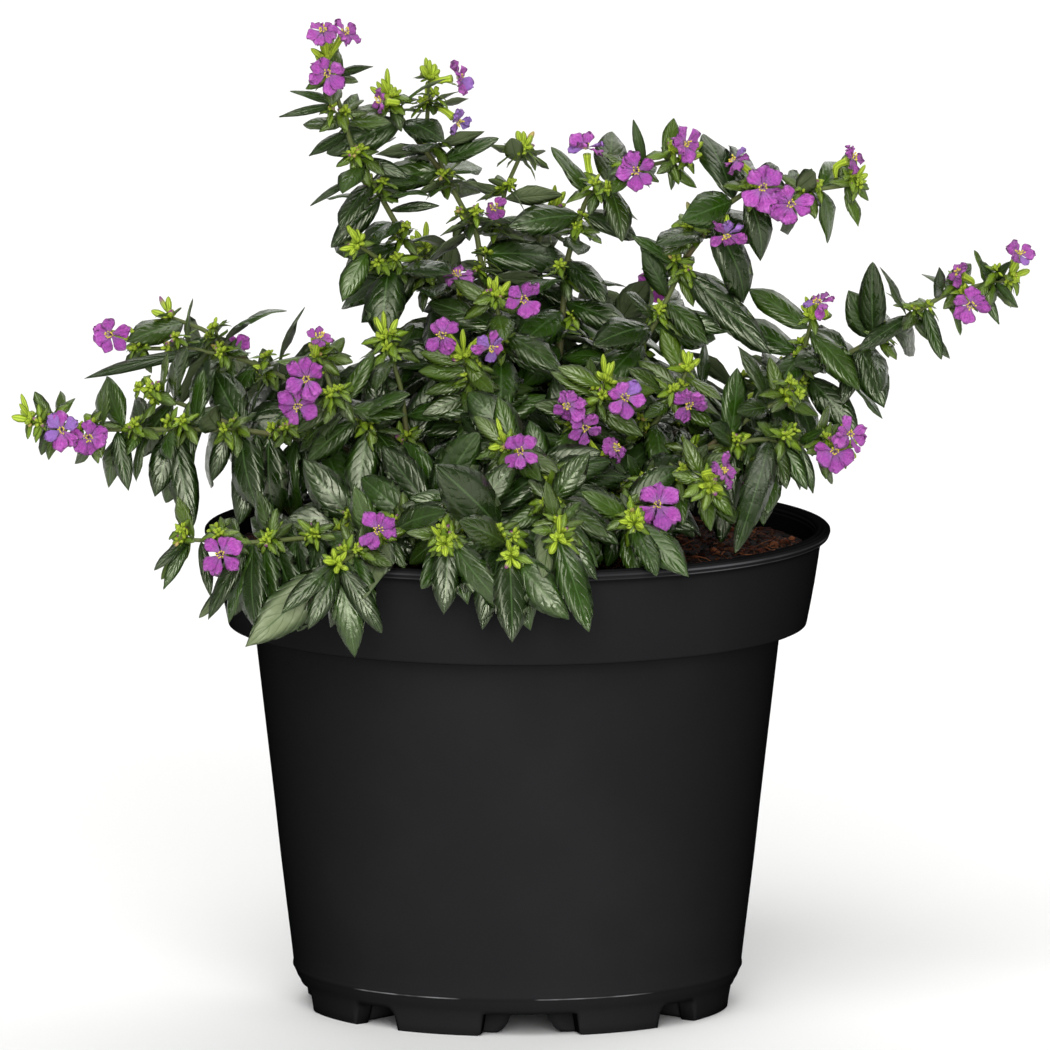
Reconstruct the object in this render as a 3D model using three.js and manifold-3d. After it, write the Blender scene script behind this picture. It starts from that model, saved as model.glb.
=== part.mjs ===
// Potted mexican heather: a bushy flowering plant in a round black nursery pot.
//
// The plant is a set of leafy stems, each one body with its side shoots, opposite
// pairs of arched lance-shaped leaves and lime-green buds. Open blooms with six
// petals sit on calyx tubes that grow from the stems. Every stem stands in a plain
// hole in the soil, and the soil fills the pot.
//
// Millimetres, +Z up, origin at the middle of the pot's foot, front towards -Y.

import * as THREE from 'three';
import { mergeVertices } from 'three/addons/utils/BufferGeometryUtils.js';
import Module from 'manifold-3d';

const wasm = await Module();
wasm.setup();

// Driving dimensions of the pot
const LIP_RADIUS = 100;
const LIP_TOP = 154;
const WALL = 1.7;
const COLLAR_BOTTOM = 123;
const COLLAR_BOTTOM_RADIUS = 92.5;
const COLLAR_TOP = 149;
const COLLAR_TOP_RADIUS = 97;
const BODY_TOP_RADIUS = 84.3;
const BODY_BOTTOM = 13;
const BODY_BOTTOM_RADIUS = 71.7;
const FOOT_RADIUS = 68.1;
const FOOT_INNER_RADIUS = 62;
const FLOOR_BOTTOM = 9;
const FLOOR_TOP = 11;
const FOOT_DRAFT = 1;
const FOOT_HEIGHT = 7;
const LIP_DEPTH = 2.6;
const LIP_ROUNDING = 0.8;
const POT_SEGMENTS = 36;

// Notches round the foot, and the drain holes in the floor
const NOTCH_COUNT = 8;
const NOTCH_TURN = THREE.MathUtils.degToRad(3.5);
const NOTCH_HEIGHT = 7.4;
const NOTCH_WIDTH_BELOW = 30;
const NOTCH_WIDTH_ABOVE = 23;
const DRAIN_COUNT = 4;
const DRAIN_RADIUS = 5;
const DRAIN_CIRCLE = 42;
const DRAIN_SIDES = 8;
const DRAIN_CUT = 8;
const NOTCH_BELOW = 1;
const NOTCH_REACH = 26;

// Soil
const SEAT_GAP = 0.3;
const SOIL_TOP = 146;
const SOIL_SEGMENTS = 18;
const SOIL_RINGS = [84, 52];
const SOIL_RIPPLE = 0.9;
const SOIL_EDGE_DROP = 1;
const RIPPLE_ACROSS = 0.21;
const RIPPLE_DEEP = 0.17;
const ROOT_DEPTH = 22;
const HOLE_SIDES = 5;
const HOLE_RISE = 10;

// Stems
const VIEW_TILT = THREE.MathUtils.degToRad(8.5);
const STEM_SIDES = 3;
const TIP_RADIUS = 0.65;
const SIDE_SHOOT_RADIUS = 0.95;
const TIP_INSET = 1;
const ROUTE_SAMPLES = 60;
const COLLAR_RISE = 3;

// Leaves
const SEED = 4127;
const LEAF_LENGTH = 28;
const LEAF_SLENDERNESS = 0.39;
const LEAF_THICKNESS = 1.2;
const LARGE_LEAF = 29;
const LARGE_LEAF_STATIONS = [[0.27, 0.82], [0.54, 1.0], [0.8, 0.66]];
const SMALL_LEAF_STATIONS = [[0.34, 0.95], [0.7, 0.84]];
const NODE_SPACING = 22;
const NODE_CROWDING = 0.45;
const FIRST_NODE = 11;
const FIRST_SIDE_NODE = 10;
const LEAF_TRIES = 9;
const TRY_SHRINK = 0.055;
const CLEARANCE = 0.35;
const POT_CLEARANCE = 0.8;
const EDGE_SAMPLES = 6;
const ROOT_OFFSET = 0.05;
const PAIR_OFFSET = 0.45;
const AXIL_OFFSET = 1.6;
const SLOTS_PER_SHOOT = 100;
const TIP_SLOT = 99;
const OWNER_STRIDE = 7919;
const SHOOT_STRIDE = 911;
const SLOT_STRIDE = 31;
const SIDE_STRIDE = 17;

// How leaves stand: angles in radians, the rest as shares of one
const LIGHT_PARTING = 12;
const LIGHT_RISE = 0.6;
const LIGHT_OUTWARD = 0.8;
const LIGHT_SIDEWAYS = 0.003;
const LEAF_TURN_JITTER = 0.7;
const LEAF_DODGE = 0.6;
const LEAF_PITCH = 0.9;
const LEAF_PITCH_RANGE = 0.45;
const LEAF_SAG = 0.1;
const LEAF_SAG_RANGE = 0.45;
const LEAF_ROLL_JITTER = 0.7;
const FACE_TO_LIGHT = 0.8;
const FACE_TO_TIP = 0.35;
const FACE_OUTWARD = 0.1;
const YOUNG_FROM = 0.55;
const YOUNG_SHORTER = 0.5;
const YOUNG_SLIMMER = 0.05;
const LENGTH_LEAST = 0.85;
const LENGTH_RANGE = 0.3;
const LEAST_BEND = 0.1;
const LEAF_BEND = 0.3;
const LEAF_BEND_RANGE = 0.8;
const YOUNG_STRAIGHTER = 0.6;

// Buds
const BUD_LENGTH = 7.5;
const BUD_RADIUS = 1.5;
const BUD_SIDES = 3;
const TIP_BUDS = 2;
const AXIL_BUDS = 1;
const AXIL_EVERY = 3;
const AXIL_FROM = 0.35;
const GOLDEN_ANGLE = THREE.MathUtils.degToRad(137.5);
const BUD_TURN_JITTER = 0.5;
const FIRST_BUD_LEAN = 0.4;
const BUD_LIFT = 0.25;
const BUD_LENGTH_LEAST = 0.8;
const BUD_LENGTH_RANGE = 0.35;
const BUD_RADIUS_LEAST = 0.85;
const BUD_RADIUS_RANGE = 0.3;
const BUD_WIDEST = 0.68;
const TIP_SPREAD = 0.95;
const AXIL_SPREAD = 1.25;

// Blooms
const PETALS = 6;
const PETAL_HALF_THICKNESS = 0.45;
const PETAL_WAVE = 0.5;
const PETAL_BREADTH = 0.3;
const PETAL_MIDDLE = 0.62;
const THROAT_RADIUS = 1.5;
const THROAT_DEPTH = 1.5;
const STAMEN_HEIGHT = 1.3;
const CALYX_LENGTH = 5.5;
const CALYX_MOUTH_RADIUS = 1.25;

const UP = new THREE.Vector3(0, 0, 1);
const LEAST_LEVEL = 0.05;

// Materials
const FINISHES = {
  plastic: { color: 0x1d1d1e, roughness: 0.55, metalness: 0 },
  peat: { color: 0x3a1d12, roughness: 1, metalness: 0 },
  foliage: { color: 0x2c5a28, roughness: 0.45, metalness: 0 },
  petal: { color: 0xb745b0, roughness: 0.6, metalness: 0 },
};

// A place given as it is seen from the front at the usual height of the eye:
// across from the pot's axis, up from the foot's middle, and depth along +Y.
function seen(across, up, depth) {
  const height = (up - depth * Math.sin(VIEW_TILT)) / Math.cos(VIEW_TILT);
  return new THREE.Vector3(across, depth, height);
}

// A place given straight in the pot's own axes
function place(x, y, z) {
  return new THREE.Vector3(x, y, z);
}

// The way that a bloom looks: yaw 0 is towards the front, positive to the right.
function facing(yawDegrees, pitchDegrees) {
  const yaw = THREE.MathUtils.degToRad(yawDegrees);
  const pitch = THREE.MathUtils.degToRad(pitchDegrees);
  return new THREE.Vector3(
    Math.sin(yaw) * Math.cos(pitch),
    -Math.cos(yaw) * Math.cos(pitch),
    Math.sin(pitch),
  );
}

// One bloom: where its middle is, where it looks, and how wide it is open.
// A bloom with a name is a piece of its own, joined by those marked as its twin.
// One without a name is small or fading, and is part of its stem.
function bloom(name, middle, looks, width, twinOf = null) {
  return { name, middle, looks, width, twinOf };
}

// The leafy stems. Each has the place where it stands in the soil, the route of
// its main shoot above the soil, its side shoots and its blooms.
const STEMS = [
  {
    name: 'stem_front_left',
    root: [-20, -15],
    radius: 1.3,
    route: [
      seen(-30, 160, -36), seen(-46, 153, -58), seen(-62, 149, -74),
      seen(-83, 147, -82), seen(-105, 148, -80),
    ],
    shoots: [],
    blooms: [bloom('bloom_front_left', seen(-93.5, 143.5, -92), facing(-12, 10), 15)],
  },
  {
    name: 'stem_front_inner_left',
    root: [-11, -20],
    radius: 1.3,
    route: [seen(-21, 161, -40), seen(-32, 155, -64), seen(-45, 147, -88), seen(-57, 140, -103)],
    shoots: [],
    blooms: [bloom('bloom_front_inner_left', seen(-44, 151, -98), facing(-5, 18), 14.5)],
  },
  {
    name: 'stem_front_middle',
    root: [-3, -23],
    radius: 1.3,
    route: [seen(-8, 163, -44), seen(-12, 159, -68), seen(-17, 153, -90), seen(-23, 147, -106)],
    shoots: [[seen(-12, 159, -68), seen(-5, 151, -94), seen(-2, 143, -109)]],
    blooms: [],
  },
  {
    name: 'stem_front_inner_right',
    root: [5, -20],
    radius: 1.3,
    route: [seen(7, 167, -40), seen(10, 166, -62), seen(11, 158, -86), seen(13, 148, -104)],
    shoots: [[seen(7, 167, -40), seen(2, 174, -56), seen(-4, 178, -68)]],
    blooms: [bloom('bloom_middle', seen(1, 176, -78), facing(0, 14), 13)],
  },
  {
    name: 'stem_front_right',
    root: [14, -20],
    radius: 1.3,
    route: [seen(28, 163, -32), seen(42, 165, -46), seen(55, 168, -57), seen(61, 165, -66)],
    shoots: [[seen(28, 163, -32), seen(33, 158, -58), seen(37, 153, -84)]],
    blooms: [
      bloom('bloom_front_right', seen(44.5, 159, -68), facing(4, 16), 17.5),
      bloom('bloom_front_right_side', seen(65, 170, -74), facing(62, 12), 13),
    ],
  },
  {
    name: 'stem_inner_left',
    root: [-14, -7],
    radius: 1.3,
    route: [
      seen(-22, 172, -16), seen(-35, 178, -24), seen(-48, 184, -34),
      seen(-59, 195, -38), seen(-63, 208, -35),
    ],
    shoots: [[seen(-35, 178, -24), seen(-37, 196, -24), seen(-42, 212, -24)]],
    blooms: [
      bloom('bloom_inner_left', seen(-67, 199, -48), facing(-4, 8), 15.5),
      bloom(null, seen(-70, 190.5, -46), facing(-2, -14), 15, 'bloom_inner_left'),
      bloom(null, seen(-63, 212, -44), facing(24, 60), 9),
    ],
  },
  {
    name: 'stem_inner_middle',
    root: [-5, -9],
    radius: 1.3,
    route: [seen(-10, 178, -16), seen(-12, 188, -24), seen(-14, 199, -28), seen(-17, 206, -31)],
    shoots: [[seen(-10, 178, -16), seen(-5, 196, -14), seen(-5, 213, -15), seen(-7, 225, -16)]],
    blooms: [
      bloom('bloom_inner_middle_left', seen(-24, 213, -39), facing(-8, 10), 13.5),
      bloom('bloom_inner_middle_right', seen(-8.5, 209, -41), facing(34, -16), 12.5),
      bloom('bloom_inner_middle_top', seen(2, 224.5, -25), facing(8, 4), 14),
    ],
  },
  {
    name: 'stem_inner_right',
    root: [6, -9],
    radius: 1.3,
    route: [seen(13, 173, -20), seen(19, 181, -30), seen(24, 189, -34), seen(28, 198, -34)],
    shoots: [],
    blooms: [
      bloom('bloom_inner_right', seen(16, 190.5, -43), facing(-28, -6), 13),
      bloom(null, seen(21.5, 183.5, -43), facing(10, -6), 12.5, 'bloom_inner_right'),
      bloom('bloom_inner_right_top', seen(34, 193, -44), facing(10, 12), 14),
      bloom('bloom_inner_right_low', seen(31, 177, -44), facing(48, 26), 10.5),
    ],
  },
  {
    name: 'stem_right_middle',
    root: [16, -11],
    radius: 1.3,
    route: [seen(30, 174, -14), seen(43, 184, -16), seen(51, 195, -18), seen(54, 202, -18)],
    shoots: [],
    blooms: [bloom('bloom_right_middle', seen(54.5, 191, -29), facing(2, -14), 13)],
  },
  {
    name: 'stem_right_low',
    root: [24, -9],
    radius: 1.3,
    route: [
      seen(38, 170, -16), seen(60, 177, -24), seen(78, 180, -28),
      seen(94, 178, -28), seen(103, 177, -27),
    ],
    shoots: [[seen(60, 177, -24), seen(76, 188, -20), seen(85, 193, -18)]],
    blooms: [
      bloom('bloom_right_low', seen(101, 176, -36), facing(4, 8), 14.5),
      bloom(null, seen(105.5, 181.5, -36), facing(38, 14), 13, 'bloom_right_low'),
    ],
  },
  {
    name: 'stem_left_low',
    root: [-24, -5],
    radius: 1.3,
    route: [
      seen(-34, 168, -10), seen(-60, 179, -16), seen(-89, 183, -20), seen(-117, 183, -20),
      seen(-133, 183, -19), seen(-155, 186, -16),
    ],
    shoots: [[seen(-89, 183, -20), seen(-104, 190, -15), seen(-115, 194, -13)]],
    blooms: [
      bloom('bloom_left_low', seen(-145, 183, -29), facing(-6, 8), 15),
      bloom(null, seen(-136.5, 180.5, -29), facing(4, 4), 14, 'bloom_left_low'),
    ],
  },
  {
    name: 'stem_left',
    root: [-24, 6],
    radius: 1.3,
    route: [
      seen(-34, 176, 8), seen(-58, 192, 11), seen(-86, 205, 13),
      seen(-104, 209, 13), seen(-119, 209, 12),
    ],
    shoots: [[seen(-86, 205, 13), seen(-100, 215, 20), seen(-111, 219, 22)]],
    blooms: [bloom('bloom_left', seen(-130, 213.5, 4), facing(-16, 6), 13.5)],
  },
  {
    name: 'stem_far_right',
    root: [25, 4],
    radius: 1.6,
    route: [
      seen(36, 176, 7), seen(62, 186, 10), seen(84, 196, 10), seen(109, 209, 8),
      seen(136, 226, 6), seen(158, 232, 4),
    ],
    shoots: [[seen(84, 196, 10), seen(92, 210, 2), seen(94, 219, -2)]],
    blooms: [
      bloom('bloom_far_right', seen(144.5, 223, -5), facing(10, -2), 13),
      bloom('bloom_far_right_tip', seen(160, 239, -3), facing(28, 48), 11),
      bloom('bloom_far_right_inner', seen(96, 223.5, -10), facing(-30, 40), 11),
      bloom(null, seen(141, 233, 3), facing(-60, 30), 10),
    ],
  },
  {
    name: 'stem_right_tall',
    root: [15, -1],
    radius: 1.8,
    route: [seen(22, 182, -1), seen(36, 204, -2), seen(45, 219, -2), seen(53, 236, -2), seen(56, 249, -2)],
    shoots: [[
      seen(53, 236, -2), seen(66, 254, -5), seen(76, 261, -7), seen(92, 259, -8), seen(106, 261, -7),
    ]],
    blooms: [
      bloom('bloom_right_tall', seen(78, 260, -18), facing(6, 6), 17.5),
      bloom(null, seen(87, 255, -18), facing(8, 3), 15.5, 'bloom_right_tall'),
      bloom('bloom_right_tall_low', seen(66.5, 245, -16), facing(0, -42), 14),
      bloom('bloom_right_tall_side', seen(69, 269, -12), facing(-64, 36), 11),
      bloom('bloom_right_tall_tip', seen(107, 269.5, -12), facing(64, 24), 11.5),
    ],
  },
  {
    name: 'stem_middle_right',
    root: [8, 5],
    radius: 1.5,
    route: [
      seen(12, 190, 8), seen(14, 215, 12), seen(16, 238, 13), seen(22, 257, 11), seen(36, 266, 6),
      seen(54, 270, 2),
    ],
    shoots: [],
    blooms: [
      bloom('bloom_middle_right_back', seen(22, 273, 10), facing(-14, 72), 13.5),
      bloom('bloom_middle_right', seen(38, 265.5, -5), facing(-4, 4), 14.5),
      bloom('bloom_middle_right_tip', seen(53.5, 274, -7), facing(38, 0), 13),
    ],
  },
  {
    name: 'stem_tall_left',
    root: [-14, 4],
    radius: 1.5,
    route: [
      seen(-17, 190, 6), seen(-19, 214, 8), seen(-28, 230, 10), seen(-40, 251, 11), seen(-53, 274, 8),
      seen(-61, 301, 3),
    ],
    shoots: [[seen(-28, 230, 10), seen(-42, 236, 4), seen(-51, 242, -1)]],
    blooms: [
      bloom('bloom_tall_left', seen(-60.5, 296.5, -8), facing(-2, 4), 14),
      bloom('bloom_tall_left_top', seen(-62, 310, -4), facing(-12, 52), 12.5),
      bloom(null, seen(-55, 309.5, -3), facing(30, 40), 12, 'bloom_tall_left_top'),
      bloom('bloom_edge_on', seen(-19, 232, -3), facing(-20, 68), 13.5),
    ],
  },
  {
    name: 'stem_tall_middle',
    root: [-6, 13],
    radius: 1.4,
    route: [
      seen(-8, 190, 18), seen(-9, 216, 21), seen(-13, 246, 23), seen(-23, 264, 23), seen(-29, 281, 21),
      seen(-28, 295, 19),
    ],
    shoots: [[seen(-23, 264, 23), seen(-34, 278, 17), seen(-41, 289, 13)]],
    blooms: [
      bloom('bloom_tall_middle', seen(-19, 295.5, 13), facing(68, 12), 13.5),
      bloom('bloom_tall_middle_faded', seen(-19, 281.5, 13), facing(52, -30), 10.5),
      bloom(null, seen(-43.5, 288, 6), facing(-64, 10), 9),
    ],
  },
  {
    name: 'stem_middle_back',
    root: [3, 15],
    radius: 1.4,
    route: [seen(-2, 192, 26), seen(-4, 218, 30), seen(-7, 243, 32), seen(-4, 260, 30), seen(2, 273, 27)],
    shoots: [[seen(-4, 218, 30), seen(5, 240, 38), seen(12, 254, 42)]],
    blooms: [bloom(null, seen(-7, 254, 21), facing(-24, 20), 9)],
  },
  {
    name: 'stem_back_left',
    root: [-16, 16],
    radius: 1.4,
    route: [place(-30, 28, 172), place(-54, 46, 186), place(-78, 62, 192), place(-96, 76, 196)],
    shoots: [[place(-30, 28, 172), place(-46, 66, 174), place(-58, 98, 168)]],
    blooms: [
      bloom('bloom_back_left', place(-92, 84, 199), facing(200, 24), 14),
      bloom('bloom_back_left_low', place(-60, 108, 169), facing(204, 16), 14),
    ],
  },
  {
    name: 'stem_back_middle',
    root: [-5, 23],
    radius: 1.4,
    route: [place(-9, 38, 178), place(-16, 60, 204), place(-24, 84, 220), place(-30, 103, 229)],
    shoots: [],
    blooms: [bloom('bloom_back_middle', place(-26, 112, 224), facing(176, 12), 14)],
  },
  {
    name: 'stem_back_right',
    root: [8, 23],
    radius: 1.4,
    route: [place(14, 38, 178), place(26, 58, 200), place(36, 80, 214), place(46, 99, 221)],
    shoots: [[place(14, 38, 178), place(40, 68, 176), place(64, 97, 167)]],
    blooms: [bloom('bloom_back_right', place(44, 108, 217), facing(168, 10), 14)],
  },
  {
    name: 'stem_back_far_right',
    root: [19, 15],
    radius: 1.4,
    route: [place(34, 26, 172), place(54, 38, 184), place(72, 50, 191), place(86, 60, 196)],
    shoots: [],
    blooms: [],
  },
];

// Seeded draws between 0 and 1
function seededDraw(seed) {
  let state = seed >>> 0;
  return () => {
    state = (state + 0x6d2b79f5) >>> 0;
    let mixed = state;
    mixed = Math.imul(mixed ^ (mixed >>> 15), mixed | 1);
    mixed ^= mixed + Math.imul(mixed ^ (mixed >>> 7), mixed | 61);
    return ((mixed ^ (mixed >>> 14)) >>> 0) / 4294967296;
  };
}

// A closed body lofted through rings of equal count, wound about its way along.
// Each end closes to a point, or with a flat cap where no point is given.
function loft(rings, startPoint, endPoint) {
  const sides = rings[0].length;
  const points = rings.flat();
  const faces = [];
  for (let ring = 0; ring + 1 < rings.length; ring += 1) {
    for (let side = 0; side < sides; side += 1) {
      const next = (side + 1) % sides;
      const a = ring * sides + side;
      const b = ring * sides + next;
      faces.push([a, b, b + sides], [a, b + sides, a + sides]);
    }
  }
  const lastRing = (rings.length - 1) * sides;
  if (startPoint) {
    const start = points.push(startPoint) - 1;
    for (let side = 0; side < sides; side += 1) {
      faces.push([start, (side + 1) % sides, side]);
    }
  } else {
    for (let side = 1; side + 1 < sides; side += 1) {
      faces.push([0, side + 1, side]);
    }
  }
  if (endPoint) {
    const end = points.push(endPoint) - 1;
    for (let side = 0; side < sides; side += 1) {
      faces.push([end, lastRing + side, lastRing + ((side + 1) % sides)]);
    }
  } else {
    for (let side = 1; side + 1 < sides; side += 1) {
      faces.push([lastRing, lastRing + side, lastRing + side + 1]);
    }
  }
  return { points, faces };
}

// Two directions square to a way along: level, and as near to upward as it gets
function squareTo(along) {
  const level = new THREE.Vector3().crossVectors(along, UP);
  if (level.length() < LEAST_LEVEL) {
    level.set(1, 0, 0);
  }
  level.normalize();
  const raised = new THREE.Vector3().crossVectors(level, along).normalize();
  return { level, raised };
}

// A stem along a route, with its radius running from one to the other. One that
// grows from another starts as a point on that one's middle line.
function stemBody(route, startRadius, endRadius, grown) {
  let level = null;
  const rings = route.map((point, index) => {
    const before = route[Math.max(index - 1, 0)];
    const after = route[Math.min(index + 1, route.length - 1)];
    const along = after.clone().sub(before).normalize();
    if (level === null) {
      level = squareTo(along).level;
    }
    level = level.clone().addScaledVector(along, -level.dot(along)).normalize();
    const raised = new THREE.Vector3().crossVectors(level, along).normalize();
    const radius = THREE.MathUtils.lerp(startRadius, endRadius, index / (route.length - 1));
    const ring = [];
    for (let side = 0; side < STEM_SIDES; side += 1) {
      const turn = -(side * 2 * Math.PI) / STEM_SIDES;
      ring.push(point.clone()
        .addScaledVector(level, radius * Math.cos(turn))
        .addScaledVector(raised, radius * Math.sin(turn)));
    }
    return ring;
  });
  return grown ? loft(rings.slice(1), route[0], null) : loft(rings, null, null);
}

// A leaf's middle line is an arc that bends away from its upper face
function leafPoint(leaf, t) {
  const turn = leaf.bend * t;
  const reach = leaf.length / leaf.bend;
  return leaf.root.clone()
    .addScaledVector(leaf.along, reach * Math.sin(turn))
    .addScaledVector(leaf.above, -reach * (1 - Math.cos(turn)));
}

// A leaf is thick along its midrib and thin at its edges, with its keel below
function leafBody(leaf, extra) {
  const stations = leaf.length > LARGE_LEAF ? LARGE_LEAF_STATIONS : SMALL_LEAF_STATIONS;
  const across = new THREE.Vector3().crossVectors(leaf.along, leaf.above);
  const rings = stations.map(([t, breadth]) => {
    const middle = leafPoint(leaf, t);
    const turn = leaf.bend * t;
    const above = leaf.above.clone().multiplyScalar(Math.cos(turn))
      .addScaledVector(leaf.along, Math.sin(turn));
    const halfWidth = leaf.width * breadth * 0.5 + extra;
    return [
      middle.clone().addScaledVector(across, halfWidth).addScaledVector(above, extra),
      middle.clone().addScaledVector(above, -LEAF_THICKNESS - extra),
      middle.clone().addScaledVector(across, -halfWidth).addScaledVector(above, extra),
    ];
  });
  const tip = leafPoint(leaf, 1 + (2 * extra) / leaf.length);
  return loft(rings, leafPoint(leaf, 0), tip);
}

// A bud or calyx: narrow at its root, widest near its pointed end
function budBody(bud, extra) {
  const { level, raised } = squareTo(bud.along);
  const ring = [];
  for (let side = 0; side < BUD_SIDES; side += 1) {
    const turn = -(side * 2 * Math.PI) / BUD_SIDES;
    ring.push(bud.root.clone()
      .addScaledVector(bud.along, bud.length * BUD_WIDEST)
      .addScaledVector(level, (bud.radius + extra) * Math.cos(turn))
      .addScaledVector(raised, (bud.radius + extra) * Math.sin(turn)));
  }
  const end = bud.root.clone().addScaledVector(bud.along, bud.length + extra);
  return loft([ring], bud.root.clone(), end);
}

// An open bloom: six waved petals that narrow to a throat, with a tuft of stamens.
// The outline runs notch, corner, corner for each petal.
function bloomBody(flower, extra) {
  const { level, raised } = squareTo(flower.looks);
  const radius = flower.width / 2 + extra;
  const at = (reach, turn, out) => flower.middle.clone()
    .addScaledVector(level, -reach * Math.cos(turn))
    .addScaledVector(raised, reach * Math.sin(turn))
    .addScaledVector(flower.looks, out);
  const points = [at(0, 0, STAMEN_HEIGHT + extra), at(0, 0, -THROAT_DEPTH)];
  const faces = [];
  const perPetal = 5;
  const notchOf = (petal) => 2 + (petal % PETALS) * perPetal;
  const spread = (2 * Math.PI) / PETALS;
  for (let petal = 0; petal < PETALS; petal += 1) {
    const turn = Math.PI / 2 + petal * spread;
    const wave = petal % 2 === 0 ? PETAL_WAVE : -PETAL_WAVE;
    const thick = PETAL_HALF_THICKNESS + extra;
    points.push(
      at(THROAT_RADIUS + extra, turn - spread / 2, 0),
      at(radius, turn - spread * PETAL_BREADTH, wave),
      at(radius, turn + spread * PETAL_BREADTH, -wave),
      at(radius * PETAL_MIDDLE, turn, thick),
      at(radius * PETAL_MIDDLE, turn, -thick),
    );
    const notch = notchOf(petal);
    const nextNotch = notchOf(petal + 1);
    const outline = [notch, notch + 1, notch + 2, nextNotch];
    for (let step = 0; step + 1 < outline.length; step += 1) {
      faces.push([notch + 3, outline[step], outline[step + 1]]);
      faces.push([notch + 4, outline[step + 1], outline[step]]);
    }
    faces.push([0, notch, notch + 3], [0, notch + 3, nextNotch]);
    faces.push([1, notch + 4, notch], [1, nextNotch, notch + 4]);
  }
  return { points, faces };
}

// The edges of a body, each one once
function edgesOf(faces) {
  const edges = new Map();
  for (const [a, b, c] of faces) {
    for (const [from, to] of [[a, b], [b, c], [c, a]]) {
      edges.set(`${Math.min(from, to)},${Math.max(from, to)}`, [from, to]);
    }
  }
  return [...edges.values()];
}

// Whether the stretch from p to q passes through the triangle a, b, c
function stretchCrossesFace(p, q, a, b, c) {
  const abX = b.x - a.x;
  const abY = b.y - a.y;
  const abZ = b.z - a.z;
  const acX = c.x - a.x;
  const acY = c.y - a.y;
  const acZ = c.z - a.z;
  const pqX = q.x - p.x;
  const pqY = q.y - p.y;
  const pqZ = q.z - p.z;
  const sideX = pqY * acZ - pqZ * acY;
  const sideY = pqZ * acX - pqX * acZ;
  const sideZ = pqX * acY - pqY * acX;
  const volume = abX * sideX + abY * sideY + abZ * sideZ;
  if (Math.abs(volume) < 1e-12) {
    return false;
  }
  const apX = p.x - a.x;
  const apY = p.y - a.y;
  const apZ = p.z - a.z;
  const u = (apX * sideX + apY * sideY + apZ * sideZ) / volume;
  if (u < 0 || u > 1) {
    return false;
  }
  const turnX = apY * abZ - apZ * abY;
  const turnY = apZ * abX - apX * abZ;
  const turnZ = apX * abY - apY * abX;
  const v = (pqX * turnX + pqY * turnY + pqZ * turnZ) / volume;
  if (v < 0 || u + v > 1) {
    return false;
  }
  const t = (acX * turnX + acY * turnY + acZ * turnZ) / volume;
  return t >= 0 && t <= 1;
}

// The organs that stand already, and the test that a new one crosses none of them
class Thicket {
  constructor() {
    this.organs = [];
  }

  static measured(body) {
    const box = new THREE.Box3().setFromPoints(body.points);
    return { ...body, box, edges: edgesOf(body.faces) };
  }

  // Keeps an organ, with the stem that owns it and its place on that stem
  place(body, owner, slot, kind) {
    this.organs.push({ ...Thicket.measured(body), owner, slot, kind });
  }

  // Whether an edge of either body passes through a face of the other
  static crosses(first, second) {
    for (const [one, other] of [[first, second], [second, first]]) {
      for (const [from, to] of one.edges) {
        const p = one.points[from];
        const q = one.points[to];
        for (const [a, b, c] of other.faces) {
          if (stretchCrossesFace(p, q, other.points[a], other.points[b], other.points[c])) {
            return true;
          }
        }
      }
    }
    return false;
  }

  // Whether a body crosses nothing but the shoot that carries it
  isClear(guard, owner, slot) {
    const candidate = Thicket.measured(guard);
    if (touchesPot(candidate)) {
      return false;
    }
    for (const organ of this.organs) {
      const sameShoot = organ.kind === 'wood' && organ.slot === Math.floor(slot / SLOTS_PER_SHOOT);
      const ownCarrier = organ.owner === owner && (sameShoot || organ.slot === slot);
      if (ownCarrier || !candidate.box.intersectsBox(organ.box)) {
        continue;
      }
      if (Thicket.crosses(candidate, organ)) {
        return false;
      }
    }
    return true;
  }
}

// Whether an organ reaches into the soil or the pot's wall, tried along its edges
function touchesPot(organ) {
  const innerRadius = COLLAR_TOP_RADIUS - WALL - POT_CLEARANCE;
  const outerRadius = LIP_RADIUS + POT_CLEARANCE;
  for (const [from, to] of organ.edges) {
    for (let step = 0; step <= EDGE_SAMPLES; step += 1) {
      const point = organ.points[from].clone().lerp(organ.points[to], step / EDGE_SAMPLES);
      const reach = Math.hypot(point.x, point.y);
      const overSoil = reach <= innerRadius;
      if (overSoil && point.z < SOIL_TOP + SOIL_RIPPLE + POT_CLEARANCE) {
        return true;
      }
      if (!overSoil && reach < outerRadius && point.z < LIP_TOP + POT_CLEARANCE) {
        return true;
      }
    }
  }
  return false;
}

// Lengths along a route, and the place and direction at one of them
class Shoot {
  constructor(route, start, end) {
    this.route = route;
    this.startRadius = start;
    this.endRadius = end;
    this.lengths = [0];
    for (let index = 1; index < this.route.length; index += 1) {
      const step = this.route[index].distanceTo(this.route[index - 1]);
      this.lengths.push(this.lengths[index - 1] + step);
    }
  }

  get length() {
    return this.lengths.at(-1);
  }

  at(distance) {
    let index = 1;
    while (index + 1 < this.lengths.length && this.lengths[index] < distance) {
      index += 1;
    }
    const from = this.route[index - 1];
    const to = this.route[index];
    const share = (distance - this.lengths[index - 1]) / (this.lengths[index] - this.lengths[index - 1]);
    return { point: from.clone().lerp(to, share), along: to.clone().sub(from).normalize() };
  }

  nearest(target) {
    let best = null;
    for (let step = 0; step <= ROUTE_SAMPLES; step += 1) {
      const here = this.at(((this.length - TIP_INSET) * step) / ROUTE_SAMPLES);
      const gap = here.point.distanceTo(target);
      if (best === null || gap < best.gap) {
        best = { ...here, gap };
      }
    }
    return best;
  }
}

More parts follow.
